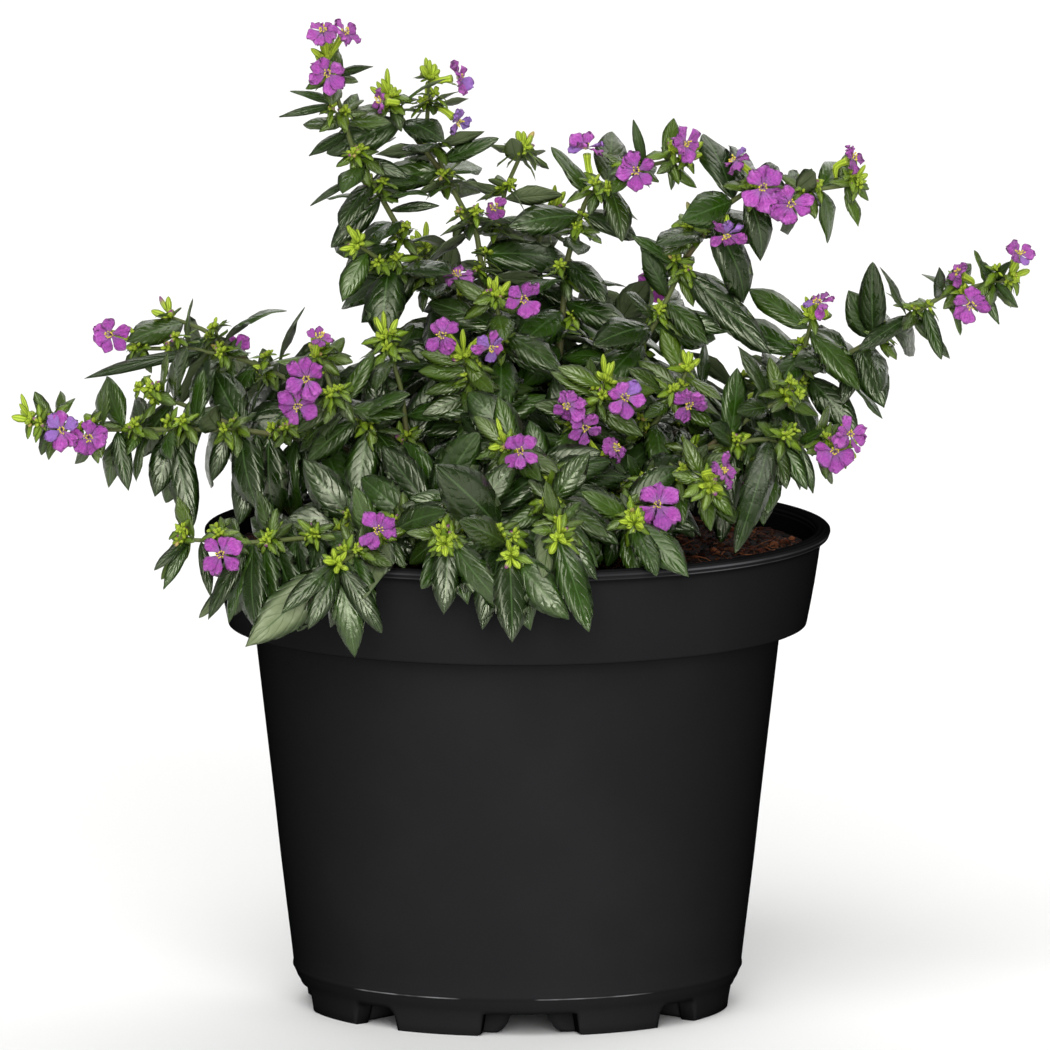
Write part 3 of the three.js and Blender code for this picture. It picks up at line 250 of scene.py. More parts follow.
LEAFY_STEMS = [
    StemPlan(
        name="stem_front_left",
        root=[-20, -15],
        route=[
            seen(-30, 160, -36), seen(-46, 153, -58), seen(-62, 149, -74),
            seen(-83, 147, -82), seen(-105, 148, -80),
        ],
        blooms=[bloom("bloom_front_left", seen(-93.5, 143.5, -92), facing(-12, 10), 15)],
    ),
    StemPlan(
        name="stem_front_inner_left",
        root=[-11, -20],
        route=[seen(-21, 161, -40), seen(-32, 155, -64), seen(-45, 147, -88), seen(-57, 140, -103)],
        blooms=[bloom("bloom_front_inner_left", seen(-44, 151, -98), facing(-5, 18), 14.5)],
    ),
    StemPlan(
        name="stem_front_middle",
        root=[-3, -23],
        route=[seen(-8, 163, -44), seen(-12, 159, -68), seen(-17, 153, -90), seen(-23, 147, -106)],
        shoots=[[seen(-12, 159, -68), seen(-5, 151, -94), seen(-2, 143, -109)]],
    ),
    StemPlan(
        name="stem_front_inner_right",
        root=[5, -20],
        route=[seen(7, 167, -40), seen(10, 166, -62), seen(11, 158, -86), seen(13, 148, -104)],
        shoots=[[seen(7, 167, -40), seen(2, 174, -56), seen(-4, 178, -68)]],
        blooms=[bloom("bloom_middle", seen(1, 176, -78), facing(0, 14), 13)],
    ),
    StemPlan(
        name="stem_front_right",
        root=[14, -20],
        route=[seen(28, 163, -32), seen(42, 165, -46), seen(55, 168, -57), seen(61, 165, -66)],
        shoots=[[seen(28, 163, -32), seen(33, 158, -58), seen(37, 153, -84)]],
        blooms=[
            bloom("bloom_front_right", seen(44.5, 159, -68), facing(4, 16), 17.5),
            bloom("bloom_front_right_side", seen(65, 170, -74), facing(62, 12), 13),
        ],
    ),
    StemPlan(
        name="stem_inner_left",
        root=[-14, -7],
        route=[
            seen(-22, 172, -16), seen(-35, 178, -24), seen(-48, 184, -34),
            seen(-59, 195, -38), seen(-63, 208, -35),
        ],
        shoots=[[seen(-35, 178, -24), seen(-37, 196, -24), seen(-42, 212, -24)]],
        blooms=[
            bloom("bloom_inner_left", seen(-67, 199, -48), facing(-4, 8), 15.5),
            bloom(None, seen(-70, 190.5, -46), facing(-2, -14), 15, "bloom_inner_left"),
            bloom(None, seen(-63, 212, -44), facing(24, 60), 9),
        ],
    ),
    StemPlan(
        name="stem_inner_middle",
        root=[-5, -9],
        route=[seen(-10, 178, -16), seen(-12, 188, -24), seen(-14, 199, -28), seen(-17, 206, -31)],
        shoots=[[seen(-10, 178, -16), seen(-5, 196, -14), seen(-5, 213, -15), seen(-7, 225, -16)]],
        blooms=[
            bloom("bloom_inner_middle_left", seen(-24, 213, -39), facing(-8, 10), 13.5),
            bloom("bloom_inner_middle_right", seen(-8.5, 209, -41), facing(34, -16), 12.5),
            bloom("bloom_inner_middle_top", seen(2, 224.5, -25), facing(8, 4), 14),
        ],
    ),
    StemPlan(
        name="stem_inner_right",
        root=[6, -9],
        route=[seen(13, 173, -20), seen(19, 181, -30), seen(24, 189, -34), seen(28, 198, -34)],
        blooms=[
            bloom("bloom_inner_right", seen(16, 190.5, -43), facing(-28, -6), 13),
            bloom(None, seen(21.5, 183.5, -43), facing(10, -6), 12.5, "bloom_inner_right"),
            bloom("bloom_inner_right_top", seen(34, 193, -44), facing(10, 12), 14),
            bloom("bloom_inner_right_low", seen(31, 177, -44), facing(48, 26), 10.5),
        ],
    ),
    StemPlan(
        name="stem_right_middle",
        root=[16, -11],
        route=[seen(30, 174, -14), seen(43, 184, -16), seen(51, 195, -18), seen(54, 202, -18)],
        blooms=[bloom("bloom_right_middle", seen(54.5, 191, -29), facing(2, -14), 13)],
    ),
    StemPlan(
        name="stem_right_low",
        root=[24, -9],
        route=[
            seen(38, 170, -16), seen(60, 177, -24), seen(78, 180, -28),
            seen(94, 178, -28), seen(103, 177, -27),
        ],
        shoots=[[seen(60, 177, -24), seen(76, 188, -20), seen(85, 193, -18)]],
        blooms=[
            bloom("bloom_right_low", seen(101, 176, -36), facing(4, 8), 14.5),
            bloom(None, seen(105.5, 181.5, -36), facing(38, 14), 13, "bloom_right_low"),
        ],
    ),
    StemPlan(
        name="stem_left_low",
        root=[-24, -5],
        route=[
            seen(-34, 168, -10), seen(-60, 179, -16), seen(-89, 183, -20), seen(-117, 183, -20),
            seen(-133, 183, -19), seen(-155, 186, -16),
        ],
        shoots=[[seen(-89, 183, -20), seen(-104, 190, -15), seen(-115, 194, -13)]],
        blooms=[
            bloom("bloom_left_low", seen(-145, 183, -29), facing(-6, 8), 15),
            bloom(None, seen(-136.5, 180.5, -29), facing(4, 4), 14, "bloom_left_low"),
        ],
    ),
    StemPlan(
        name="stem_left",
        root=[-24, 6],
        route=[
            seen(-34, 176, 8), seen(-58, 192, 11), seen(-86, 205, 13),
            seen(-104, 209, 13), seen(-119, 209, 12),
        ],
        shoots=[[seen(-86, 205, 13), seen(-100, 215, 20), seen(-111, 219, 22)]],
        blooms=[bloom("bloom_left", seen(-130, 213.5, 4), facing(-16, 6), 13.5)],
    ),
    StemPlan(
        name="stem_far_right",
        root=[25, 4],
        radius=1.6,
        route=[
            seen(36, 176, 7), seen(62, 186, 10), seen(84, 196, 10), seen(109, 209, 8),
            seen(136, 226, 6), seen(158, 232, 4),
        ],
        shoots=[[seen(84, 196, 10), seen(92, 210, 2), seen(94, 219, -2)]],
        blooms=[
            bloom("bloom_far_right", seen(144.5, 223, -5), facing(10, -2), 13),
            bloom("bloom_far_right_tip", seen(160, 239, -3), facing(28, 48), 11),
            bloom("bloom_far_right_inner", seen(96, 223.5, -10), facing(-30, 40), 11),
            bloom(None, seen(141, 233, 3), facing(-60, 30), 10),
        ],
    ),
    StemPlan(
        name="stem_right_tall",
        root=[15, -1],
        radius=1.8,
        route=[
            seen(22, 182, -1), seen(36, 204, -2), seen(45, 219, -2), seen(53, 236, -2),
            seen(56, 249, -2),
        ],
        shoots=[[
            seen(53, 236, -2), seen(66, 254, -5), seen(76, 261, -7), seen(92, 259, -8), seen(106, 261, -7),
        ]],
        blooms=[
            bloom("bloom_right_tall", seen(78, 260, -18), facing(6, 6), 17.5),
            bloom(None, seen(87, 255, -18), facing(8, 3), 15.5, "bloom_right_tall"),
            bloom("bloom_right_tall_low", seen(66.5, 245, -16), facing(0, -42), 14),
            bloom("bloom_right_tall_side", seen(69, 269, -12), facing(-64, 36), 11),
            bloom("bloom_right_tall_tip", seen(107, 269.5, -12), facing(64, 24), 11.5),
        ],
    ),
    StemPlan(
        name="stem_middle_right",
        root=[8, 5],
        radius=1.5,
        route=[
            seen(12, 190, 8), seen(14, 215, 12), seen(16, 238, 13), seen(22, 257, 11), seen(36, 266, 6),
            seen(54, 270, 2),
        ],
        blooms=[
            bloom("bloom_middle_right_back", seen(22, 273, 10), facing(-14, 72), 13.5),
            bloom("bloom_middle_right", seen(38, 265.5, -5), facing(-4, 4), 14.5),
            bloom("bloom_middle_right_tip", seen(53.5, 274, -7), facing(38, 0), 13),
        ],
    ),
    StemPlan(
        name="stem_tall_left",
        root=[-14, 4],
        radius=1.5,
        route=[
            seen(-17, 190, 6), seen(-19, 214, 8), seen(-28, 230, 10), seen(-40, 251, 11), seen(-53, 274, 8),
            seen(-61, 301, 3),
        ],
        shoots=[[seen(-28, 230, 10), seen(-42, 236, 4), seen(-51, 242, -1)]],
        blooms=[
            bloom("bloom_tall_left", seen(-60.5, 296.5, -8), facing(-2, 4), 14),
            bloom("bloom_tall_left_top", seen(-62, 310, -4), facing(-12, 52), 12.5),
            bloom(None, seen(-55, 309.5, -3), facing(30, 40), 12, "bloom_tall_left_top"),
            bloom("bloom_edge_on", seen(-19, 232, -3), facing(-20, 68), 13.5),
        ],
    ),
    StemPlan(
        name="stem_tall_middle",
        root=[-6, 13],
        radius=1.4,
        route=[
            seen(-8, 190, 18), seen(-9, 216, 21), seen(-13, 246, 23), seen(-23, 264, 23), seen(-29, 281, 21),
            seen(-28, 295, 19),
        ],
        shoots=[[seen(-23, 264, 23), seen(-34, 278, 17), seen(-41, 289, 13)]],
        blooms=[
            bloom("bloom_tall_middle", seen(-19, 295.5, 13), facing(68, 12), 13.5),
            bloom("bloom_tall_middle_faded", seen(-19, 281.5, 13), facing(52, -30), 10.5),
            bloom(None, seen(-43.5, 288, 6), facing(-64, 10), 9),
        ],
    ),
    StemPlan(
        name="stem_middle_back",
        root=[3, 15],
        radius=1.4,
        route=[seen(-2, 192, 26), seen(-4, 218, 30), seen(-7, 243, 32), seen(-4, 260, 30), seen(2, 273, 27)],
        shoots=[[seen(-4, 218, 30), seen(5, 240, 38), seen(12, 254, 42)]],
        blooms=[bloom(None, seen(-7, 254, 21), facing(-24, 20), 9)],
    ),
    StemPlan(
        name="stem_back_left",
        root=[-16, 16],
        radius=1.4,
        route=[place(-30, 28, 172), place(-54, 46, 186), place(-78, 62, 192), place(-96, 76, 196)],
        shoots=[[place(-30, 28, 172), place(-46, 66, 174), place(-58, 98, 168)]],
        blooms=[
            bloom("bloom_back_left", place(-92, 84, 199), facing(200, 24), 14),
            bloom("bloom_back_left_low", place(-60, 108, 169), facing(204, 16), 14),
        ],
    ),
    StemPlan(
        name="stem_back_middle",
        root=[-5, 23],
        radius=1.4,
        route=[place(-9, 38, 178), place(-16, 60, 204), place(-24, 84, 220), place(-30, 103, 229)],
        blooms=[bloom("bloom_back_middle", place(-26, 112, 224), facing(176, 12), 14)],
    ),
    StemPlan(
        name="stem_back_right",
        root=[8, 23],
        radius=1.4,
        route=[place(14, 38, 178), place(26, 58, 200), place(36, 80, 214), place(46, 99, 221)],
        shoots=[[place(14, 38, 178), place(40, 68, 176), place(64, 97, 167)]],
        blooms=[bloom("bloom_back_right", place(44, 108, 217), facing(168, 10), 14)],
    ),
    StemPlan(
        name="stem_back_far_right",
        root=[19, 15],
        radius=1.4,
        route=[place(34, 26, 172), place(54, 38, 184), place(72, 50, 191), place(86, 60, 196)],
    ),
]


class Draw:
    """Seeded draws between 0 and 1, from a mixing rule on 32 bits."""

    MASK = 0xFFFFFFFF

    def __init__(self, seed: int) -> None:
        """Starts the row of draws that belongs to a seed."""
        self.state = seed & self.MASK

    def __call__(self) -> float:
        """The next draw."""
        self.state = (self.state + 0x6D2B79F5) & self.MASK
        mixed = self.state
        mixed = ((mixed ^ (mixed >> 15)) * (mixed | 1)) & self.MASK
        turned = ((mixed ^ (mixed >> 7)) * (mixed | 61)) & self.MASK
        mixed ^= (mixed + turned) & self.MASK
        return ((mixed ^ (mixed >> 14)) & self.MASK) / 4294967296


def square_to(along: np.ndarray) -> tuple[np.ndarray, np.ndarray]:
    """Two directions square to each way along: level, and as near upward as it gets.

    Args:
        along: directions, along the last axis.

    Returns:
        The level directions and the raised ones.
    """
    level = np.cross(along, UP)
    size = np.linalg.norm(level, axis=-1, keepdims=True)
    level = np.where(size < 0.05, np.array([1.0, 0.0, 0.0]), level)
    level = unit(level)
    return level, unit(np.cross(level, along))


def loft_faces(rows: int, sides: int) -> tuple[np.ndarray, np.ndarray]:
    """Faces of a body lofted through rings and closed at both ends to a point.

    The body's points are its rings in order, then its start, then its end.

    Args:
        rows: number of rings.
        sides: points in each ring, wound about the way along.

    Returns:
        Four-sided faces between rings, and three-sided ones at the ends.
    """
    side = np.arange(sides)
    after = np.roll(side, -1)
    base = (np.arange(rows - 1) * sides)[:, None]
    quads = np.stack([base + side, base + after, base + after + sides, base + side + sides], -1)
    start = np.stack([np.full(sides, rows * sides), after, side], -1)
    last = (rows - 1) * sides
    end = np.stack([np.full(sides, rows * sides + 1), last + side, last + after], -1)
    return quads.reshape(-1, 4), np.concatenate([start, end])


def split(quads: np.ndarray) -> np.ndarray:
    """Four-sided faces cut into three-sided ones."""
    return np.concatenate([quads[:, [0, 1, 2]], quads[:, [0, 2, 3]]])


def edges_of(faces: np.ndarray) -> np.ndarray:
    """The edges of three-sided faces, each one once."""
    pairs = np.concatenate([faces[:, [0, 1]], faces[:, [1, 2]], faces[:, [2, 0]]])
    return np.unique(np.sort(pairs, axis=1), axis=0)


@dataclass
class Body:
    """A closed solid of a few three-sided faces, used to find what is in the way."""

    points: np.ndarray
    faces: np.ndarray
    edges: np.ndarray

    @classmethod
    def lofted(cls, rings: np.ndarray, start: Vector3 | None, end: Vector3 | None) -> "Body":
        """A body through rings, each end a point, or a flat cap where none is given."""
        rows, sides = rings.shape[:2]
        quads, caps = loft_faces(rows, sides)
        start = rings[0].mean(axis=0) if start is None else start
        end = rings[-1].mean(axis=0) if end is None else end
        faces = np.concatenate([split(quads), caps])
        return cls(np.vstack([rings.reshape(-1, 3), start, end]), faces, edges_of(faces))


def crossing(edges: np.ndarray, faces: np.ndarray) -> bool:
    """Whether any edge passes through any face.

    The place along an edge and the two shares across a face come from the volumes that
    the edge spans with the face's sides.

    Args:
        edges: start and end of each edge.
        faces: three corners of each face.

    Returns:
        True where one edge meets one face.
    """
    start = edges[:, None, 0]
    reach = edges[:, None, 1] - start
    corner = faces[None, :, 0]
    first = faces[None, :, 1] - corner
    second = faces[None, :, 2] - corner
    side = np.cross(reach, second)
    volume = np.einsum("...k,...k", np.broadcast_to(first, side.shape), side)
    safe = np.where(np.abs(volume) < 1e-12, np.inf, volume)
    offset = start - corner
    u = np.einsum("...k,...k", offset, side) / safe
    turn = np.cross(offset, first)
    v = np.einsum("...k,...k", np.broadcast_to(reach, turn.shape), turn) / safe
    t = np.einsum("...k,...k", np.broadcast_to(second, turn.shape), turn) / safe
    flat = np.isinf(safe)
    return bool(np.any(~flat & (u >= 0) & (v >= 0) & (u + v <= 1) & (t >= 0) & (t <= 1)))


def touches_pot(body: Body) -> bool:
    """Whether a body reaches into the soil or the pot's wall, tried along its edges."""
    share = np.linspace(0, 1, EDGE_SAMPLES + 1)[:, None, None]
    tried = body.points[body.edges[:, 0]] * (1 - share) + body.points[body.edges[:, 1]] * share
    reach = np.hypot(tried[..., 0], tried[..., 1])
    over_soil = reach <= COLLAR_TOP_RADIUS - WALL - POT_CLEARANCE
    low = tried[..., 2] < SOIL_TOP + SOIL_RIPPLE + POT_CLEARANCE
    over_wall = ~over_soil & (reach < LIP_RADIUS + POT_CLEARANCE)
    return bool(np.any(over_soil & low) or np.any(over_wall & (tried[..., 2] < LIP_TOP + POT_CLEARANCE)))


class Thicket:
    """The organs that stand already, and the test that a new one crosses none."""

    def __init__(self) -> None:
        """Starts with nothing grown."""
        self.edges: list[np.ndarray] = []
        self.faces: list[np.ndarray] = []
        self.room = 1024
        self.boxes = np.zeros((self.room, 6))
        self.marks = np.zeros((self.room, 3), dtype=int)

    def place(self, body: Body, owner: int, slot: int, is_wood: bool = False) -> None:
        """Keeps an organ, with the stem that owns it and its place on that stem."""
        count = len(self.edges)
        if count == self.room:
            self.boxes = np.vstack([self.boxes, np.zeros_like(self.boxes)])
            self.marks = np.vstack([self.marks, np.zeros_like(self.marks)])
            self.room *= 2
        self.boxes[count] = np.concatenate([body.points.min(axis=0), body.points.max(axis=0)])
        self.marks[count] = (owner, slot, is_wood)
        self.edges.append(body.points[body.edges])
        self.faces.append(body.points[body.faces])

    def is_clear(self, guard: Body, owner: int, slot: int) -> bool:
        """Whether a body crosses nothing but the shoot that carries it."""
        if touches_pot(guard):
            return False
        count = len(self.edges)
        low = guard.points.min(axis=0)
        high = guard.points.max(axis=0)
        boxes = self.boxes[:count]
        near = np.all(boxes[:, :3] <= high, axis=1) & np.all(boxes[:, 3:] >= low, axis=1)
        owners, slots, wooden = self.marks[:count].T
        carrier = (wooden == 1) & (slots == slot // SLOTS_PER_SHOOT)
        near &= ~((owners == owner) & (carrier | (slots == slot)))
        found = np.nonzero(near)[0]
        if len(found) == 0:
            return True
        their_faces = np.concatenate([self.faces[index] for index in found])
        if crossing(guard.points[guard.edges], their_faces):
            return False
        their_edges = np.concatenate([self.edges[index] for index in found])
        return not crossing(their_edges, guard.points[guard.faces])


class Shoot:
    """A route of straight stretches, its radius, and the places along it."""

    def __init__(self, route: list[Vector3], start_radius: float, end_radius: float) -> None:
        """Measures the route.

        Args:
            route: the points that the shoot passes through.
            start_radius: radius at its first point.
            end_radius: radius at its last.
        """
        self.route = np.array(route)
        self.start_radius = start_radius
        self.end_radius = end_radius
        steps = np.linalg.norm(np.diff(self.route, axis=0), axis=1)
        self.lengths = np.concatenate([[0.0], np.cumsum(steps)])

    @property
    def length(self) -> float:
        """The whole length of the route."""
        return float(self.lengths[-1])

    def at(self, distance: np.ndarray | float) -> tuple[np.ndarray, np.ndarray]:
        """The point and the direction at distances along the route."""
        index = np.clip(np.searchsorted(self.lengths, distance), 1, len(self.lengths) - 1)
        before = self.route[index - 1]
        stretch = self.route[index] - before
        share = (distance - self.lengths[index - 1]) / (self.lengths[index] - self.lengths[index - 1])
        return before + stretch * np.asarray(share)[..., None], unit(stretch)

    def nearest(self, target: Vector3) -> tuple[Vector3, float]:
        """The nearest of the tried points to a target, and its distance."""
        tried = (self.length - TIP_INSET) * np.arange(ROUTE_SAMPLES + 1) / ROUTE_SAMPLES
        points = self.at(tried)[0]
        gaps = np.linalg.norm(points - target, axis=1)
        best = int(np.argmin(gaps))
        return points[best], float(gaps[best])

    def solid(self, grown: bool) -> Body:
        """The plain three-sided body that stands for this shoot in the frame.

        Args:
            grown: whether it starts as a point on another shoot's middle line.
        """
        count = len(self.route)
        after = self.route[np.minimum(np.arange(count) + 1, count - 1)]
        before = self.route[np.maximum(np.arange(count) - 1, 0)]
        along = unit(after - before)
        level = square_to(along[0])[0]
        rings = []
        for index in range(count):
            level = unit(level - along[index] * (level @ along[index]))
            raised = unit(np.cross(level, along[index]))
            share = index / (count - 1)
            radius = self.start_radius + (self.end_radius - self.start_radius) * share
            turn = -np.arange(STEM_SIDES)[:, None] * 2 * math.pi / STEM_SIDES
            ring = level * (radius * np.cos(turn)) + raised * (radius * np.sin(turn))
            rings.append(self.route[index] + ring)
        rings = np.array(rings)
        return Body.lofted(rings[1:], self.route[0], None) if grown else Body.lofted(rings, None, None)

    def leaf_places(self, is_main: bool) -> list[float]:
        """Distances at which leaf pairs stand, closer towards the tip."""
        places = []
        distance = ROOT_DEPTH + FIRST_NODE if is_main else FIRST_SIDE_NODE
        while distance < self.length - TIP_INSET:
            places.append(distance)
            distance += NODE_SPACING * (1 - NODE_CROWDING * (distance / self.length))
        return places


def shoots_of(plan: StemPlan) -> list[Shoot]:
    """The shoots of one stem, the first from the bottom of its hole in the soil."""
    x, y = plan.root
    foot = place(x, y, SOIL_TOP - ROOT_DEPTH)
    collar = place(x, y, SOIL_TOP + COLLAR_RISE)
    main_shoot = Shoot([foot, collar, *plan.route], plan.radius, TIP_RADIUS)
    shoots = [main_shoot]
    for route in plan.shoots:
        start = main_shoot.nearest(route[0])[0]
        shoots.append(Shoot([start, *route[1:]], SIDE_SHOOT_RADIUS, TIP_RADIUS))
    return shoots


def calyx_route(flower: Flower, shoots: list[Shoot]) -> Shoot:
    """The tube that carries a flower, from the nearest place on its stem."""
    back = flower.middle - flower.looks * THROAT_DEPTH
    reach = -SEAT_GAP if flower.name or flower.twin_of else SEAT_GAP
    mouth = back + flower.looks * reach
    neck = mouth - flower.looks * CALYX_LENGTH
    start = min((shoot.nearest(neck) for shoot in shoots), key=lambda found: found[1])[0]
    return Shoot([start, neck, mouth], TIP_RADIUS, CALYX_MOUTH_RADIUS)


@dataclass
class Leaf:
    """One leaf: where it starts, the ways it runs and faces, and its size."""

    root: Vector3
    along: Vector3
    above: Vector3
    length: float
    width: float
    bend: float
    young: float = 0.0
    tint: float = 0.5

    def middle(self, t: float) -> Vector3:
        """A point of the middle line, an arc that bends away from the upper face."""
        turn = self.bend * t
        reach = self.length / self.bend
        arc = self.along * math.sin(turn) - self.above * (1 - math.cos(turn))
        return self.root + arc * reach

    def solid(self, extra: float) -> Body:
        """The plain keeled body of the leaf, swollen by a margin.

        Args:
            extra: the margin on every side.
        """
        stations = LARGE_LEAF_STATIONS if self.length > LARGE_LEAF else SMALL_LEAF_STATIONS
        across = np.cross(self.along, self.above)
        rings = []
        for t, breadth in stations:
            turn = self.bend * t
            above = self.above * math.cos(turn) + self.along * math.sin(turn)
            half = self.width * breadth * 0.5 + extra
            middle = self.middle(t)
            rings.append([
                middle + across * half + above * extra,
                middle - above * (LEAF_THICKNESS + extra),
                middle - across * half + above * extra,
            ])
        tip = self.middle(1 + 2 * extra / self.length)
        return Body.lofted(np.array(rings), self.middle(0), tip)


@dataclass
class Bud:
    """One bud or calyx: where it starts, the way it points, its length and radius."""

    root: Vector3
    along: Vector3
    length: float
    radius: float
    tint: float = 0.5

    def solid(self, extra: float) -> Body:
        """The plain body of the bud, widest near its pointed end, swollen by a margin."""
        level, raised = square_to(self.along)
        turn = -np.arange(BUD_SIDES)[:, None] * 2 * math.pi / BUD_SIDES
        ring = (level * np.cos(turn) + raised * np.sin(turn)) * (self.radius + extra)
        ring = ring + self.root + self.along * (self.length * BUD_WIDEST)
        end = self.root + self.along * (self.length + extra)
        return Body.lofted(ring[None], self.root, end)


def flower_solid(flower: Flower) -> Body:
    """The plain body of an open flower: two hubs, and a notch and four points a petal."""
    level, raised = square_to(flower.looks)
    radius = flower.width / 2
    spread = 2 * math.pi / PETALS

    def at(reach: float, turn: float, out: float) -> Vector3:
        """A point at a reach and turn round the middle, and a height in front of it."""
        round_middle = -level * (reach * math.cos(turn)) + raised * (reach * math.sin(turn))
        return flower.middle + round_middle + flower.looks * out

    points = [at(0, 0, STAMEN_HEIGHT), at(0, 0, -THROAT_DEPTH)]
    faces = []
    for petal in range(PETALS):
        turn = math.pi / 2 + petal * spread
        wave = PETAL_WAVE if petal % 2 == 0 else -PETAL_WAVE
        points += [
            at(THROAT_RADIUS, turn - spread / 2, 0),
            at(radius, turn - spread * PETAL_BREADTH, wave),
            at(radius, turn + spread * PETAL_BREADTH, -wave),
            at(radius * PETAL_MIDDLE, turn, PETAL_HALF_THICKNESS),
            at(radius * PETAL_MIDDLE, turn, -PETAL_HALF_THICKNESS),
        ]
        notch = 2 + petal * 5
        following = 2 + ((petal + 1) % PETALS) * 5
        outline = [notch, notch + 1, notch + 2, following]
        for a, b in zip(outline, outline[1:]):
            faces += [[notch + 3, a, b], [notch + 4, b, a]]
        faces += [[0, notch, notch + 3], [0, notch + 3, following]]
        faces += [[1, notch + 4, notch], [1, following, notch + 4]]
    faces = np.array(faces)
    return Body(np.array(points), faces, edges_of(faces))


def light_at(point: Vector3) -> Vector3:
    """The way leaves turn their faces: up, and out of the bush to the front or back."""
    side = min(max((point[1] - LIGHT_PARTING) / LIGHT_PARTING, -1.0), 1.0)
    return unit(np.array([point[0] * LIGHT_SIDEWAYS, side * LIGHT_OUTWARD, LIGHT_RISE]))


def drawn_leaf(
    point: Vector3, way: Vector3, share: float, turn: float, shrink: float, draw: Draw
) -> Leaf:
    """One leaf drawn for a place on a shoot.

    Args:
        point: where it stands on the shoot's middle line.
        way: the shoot's direction there.
        share: how far along the shoot that is, from 0 to 1.
        turn: the angle round the shoot.
        shrink: its size against the usual.
        draw: the draws to use.

    Returns:
        The leaf.
    """
    level, raised = square_to(way)
    light = light_at(point)
    about = turn + (draw() - 0.5) * LEAF_TURN_JITTER
    outward = level * math.cos(about) + raised * math.sin(about)
    outward = unit(outward - light * (LEAF_DODGE * (outward @ light)))
    pitch = LEAF_PITCH + LEAF_PITCH_RANGE * draw()
    young = max(0.0, (share - YOUNG_FROM) / (1 - YOUNG_FROM))
    sag = (LEAF_SAG + LEAF_SAG_RANGE * draw()) * (1 - young)
    along = unit(outward * math.sin(pitch) + way * math.cos(pitch) - UP * sag)
    above = light * FACE_TO_LIGHT + way * FACE_TO_TIP + outward * FACE_OUTWARD
    above = unit(above - along * (above @ along))
    roll = (draw() - 0.5) * LEAF_ROLL_JITTER
    above = above * math.cos(roll) + np.cross(along, above) * math.sin(roll)
    grown = LEAF_LENGTH * (1 - YOUNG_SHORTER * young)
    length = grown * shrink * (LENGTH_LEAST + LENGTH_RANGE * draw())
    width = length * (LEAF_SLENDERNESS - YOUNG_SLIMMER * young)
    bend = (LEAF_BEND + LEAF_BEND_RANGE * draw()) * (1 - YOUNG_STRAIGHTER * young) + LEAST_BEND
    return Leaf(point + outward * ROOT_OFFSET, along, above, length, width, bend, young)


def drawn_buds(
    point: Vector3, way: Vector3, count: int, turn: float, spread: float, draw: Draw
) -> list[Bud]:
    """Buds drawn round a place: spread wide in an axil, bunched at a tip."""
    level, raised = square_to(way)
    buds = []
    for index in range(count):
        about = turn + index * GOLDEN_ANGLE + (draw() - 0.5) * BUD_TURN_JITTER
        lean = spread * 0.5 * (1 + draw()) * (FIRST_BUD_LEAN if index == 0 else 1)
        sideways = level * math.cos(about) + raised * math.sin(about)
        along = unit(way * math.cos(lean) + sideways * math.sin(lean) + UP * BUD_LIFT)
        length = BUD_LENGTH * (BUD_LENGTH_LEAST + BUD_LENGTH_RANGE * draw())
        radius = BUD_RADIUS * (BUD_RADIUS_LEAST + BUD_RADIUS_RANGE * draw())
        buds.append(Bud(point + along * ROOT_OFFSET, along, length, radius))
    return buds


class Skin(Enum):
    """The finishes that one planted piece may wear, by the index of its slot."""

    LEAF = 0
    WOOD = 1
    BUD = 2
    PETAL = 3
    STAMEN = 4


VALUES = ("along", "across", "under", "young", "tint")


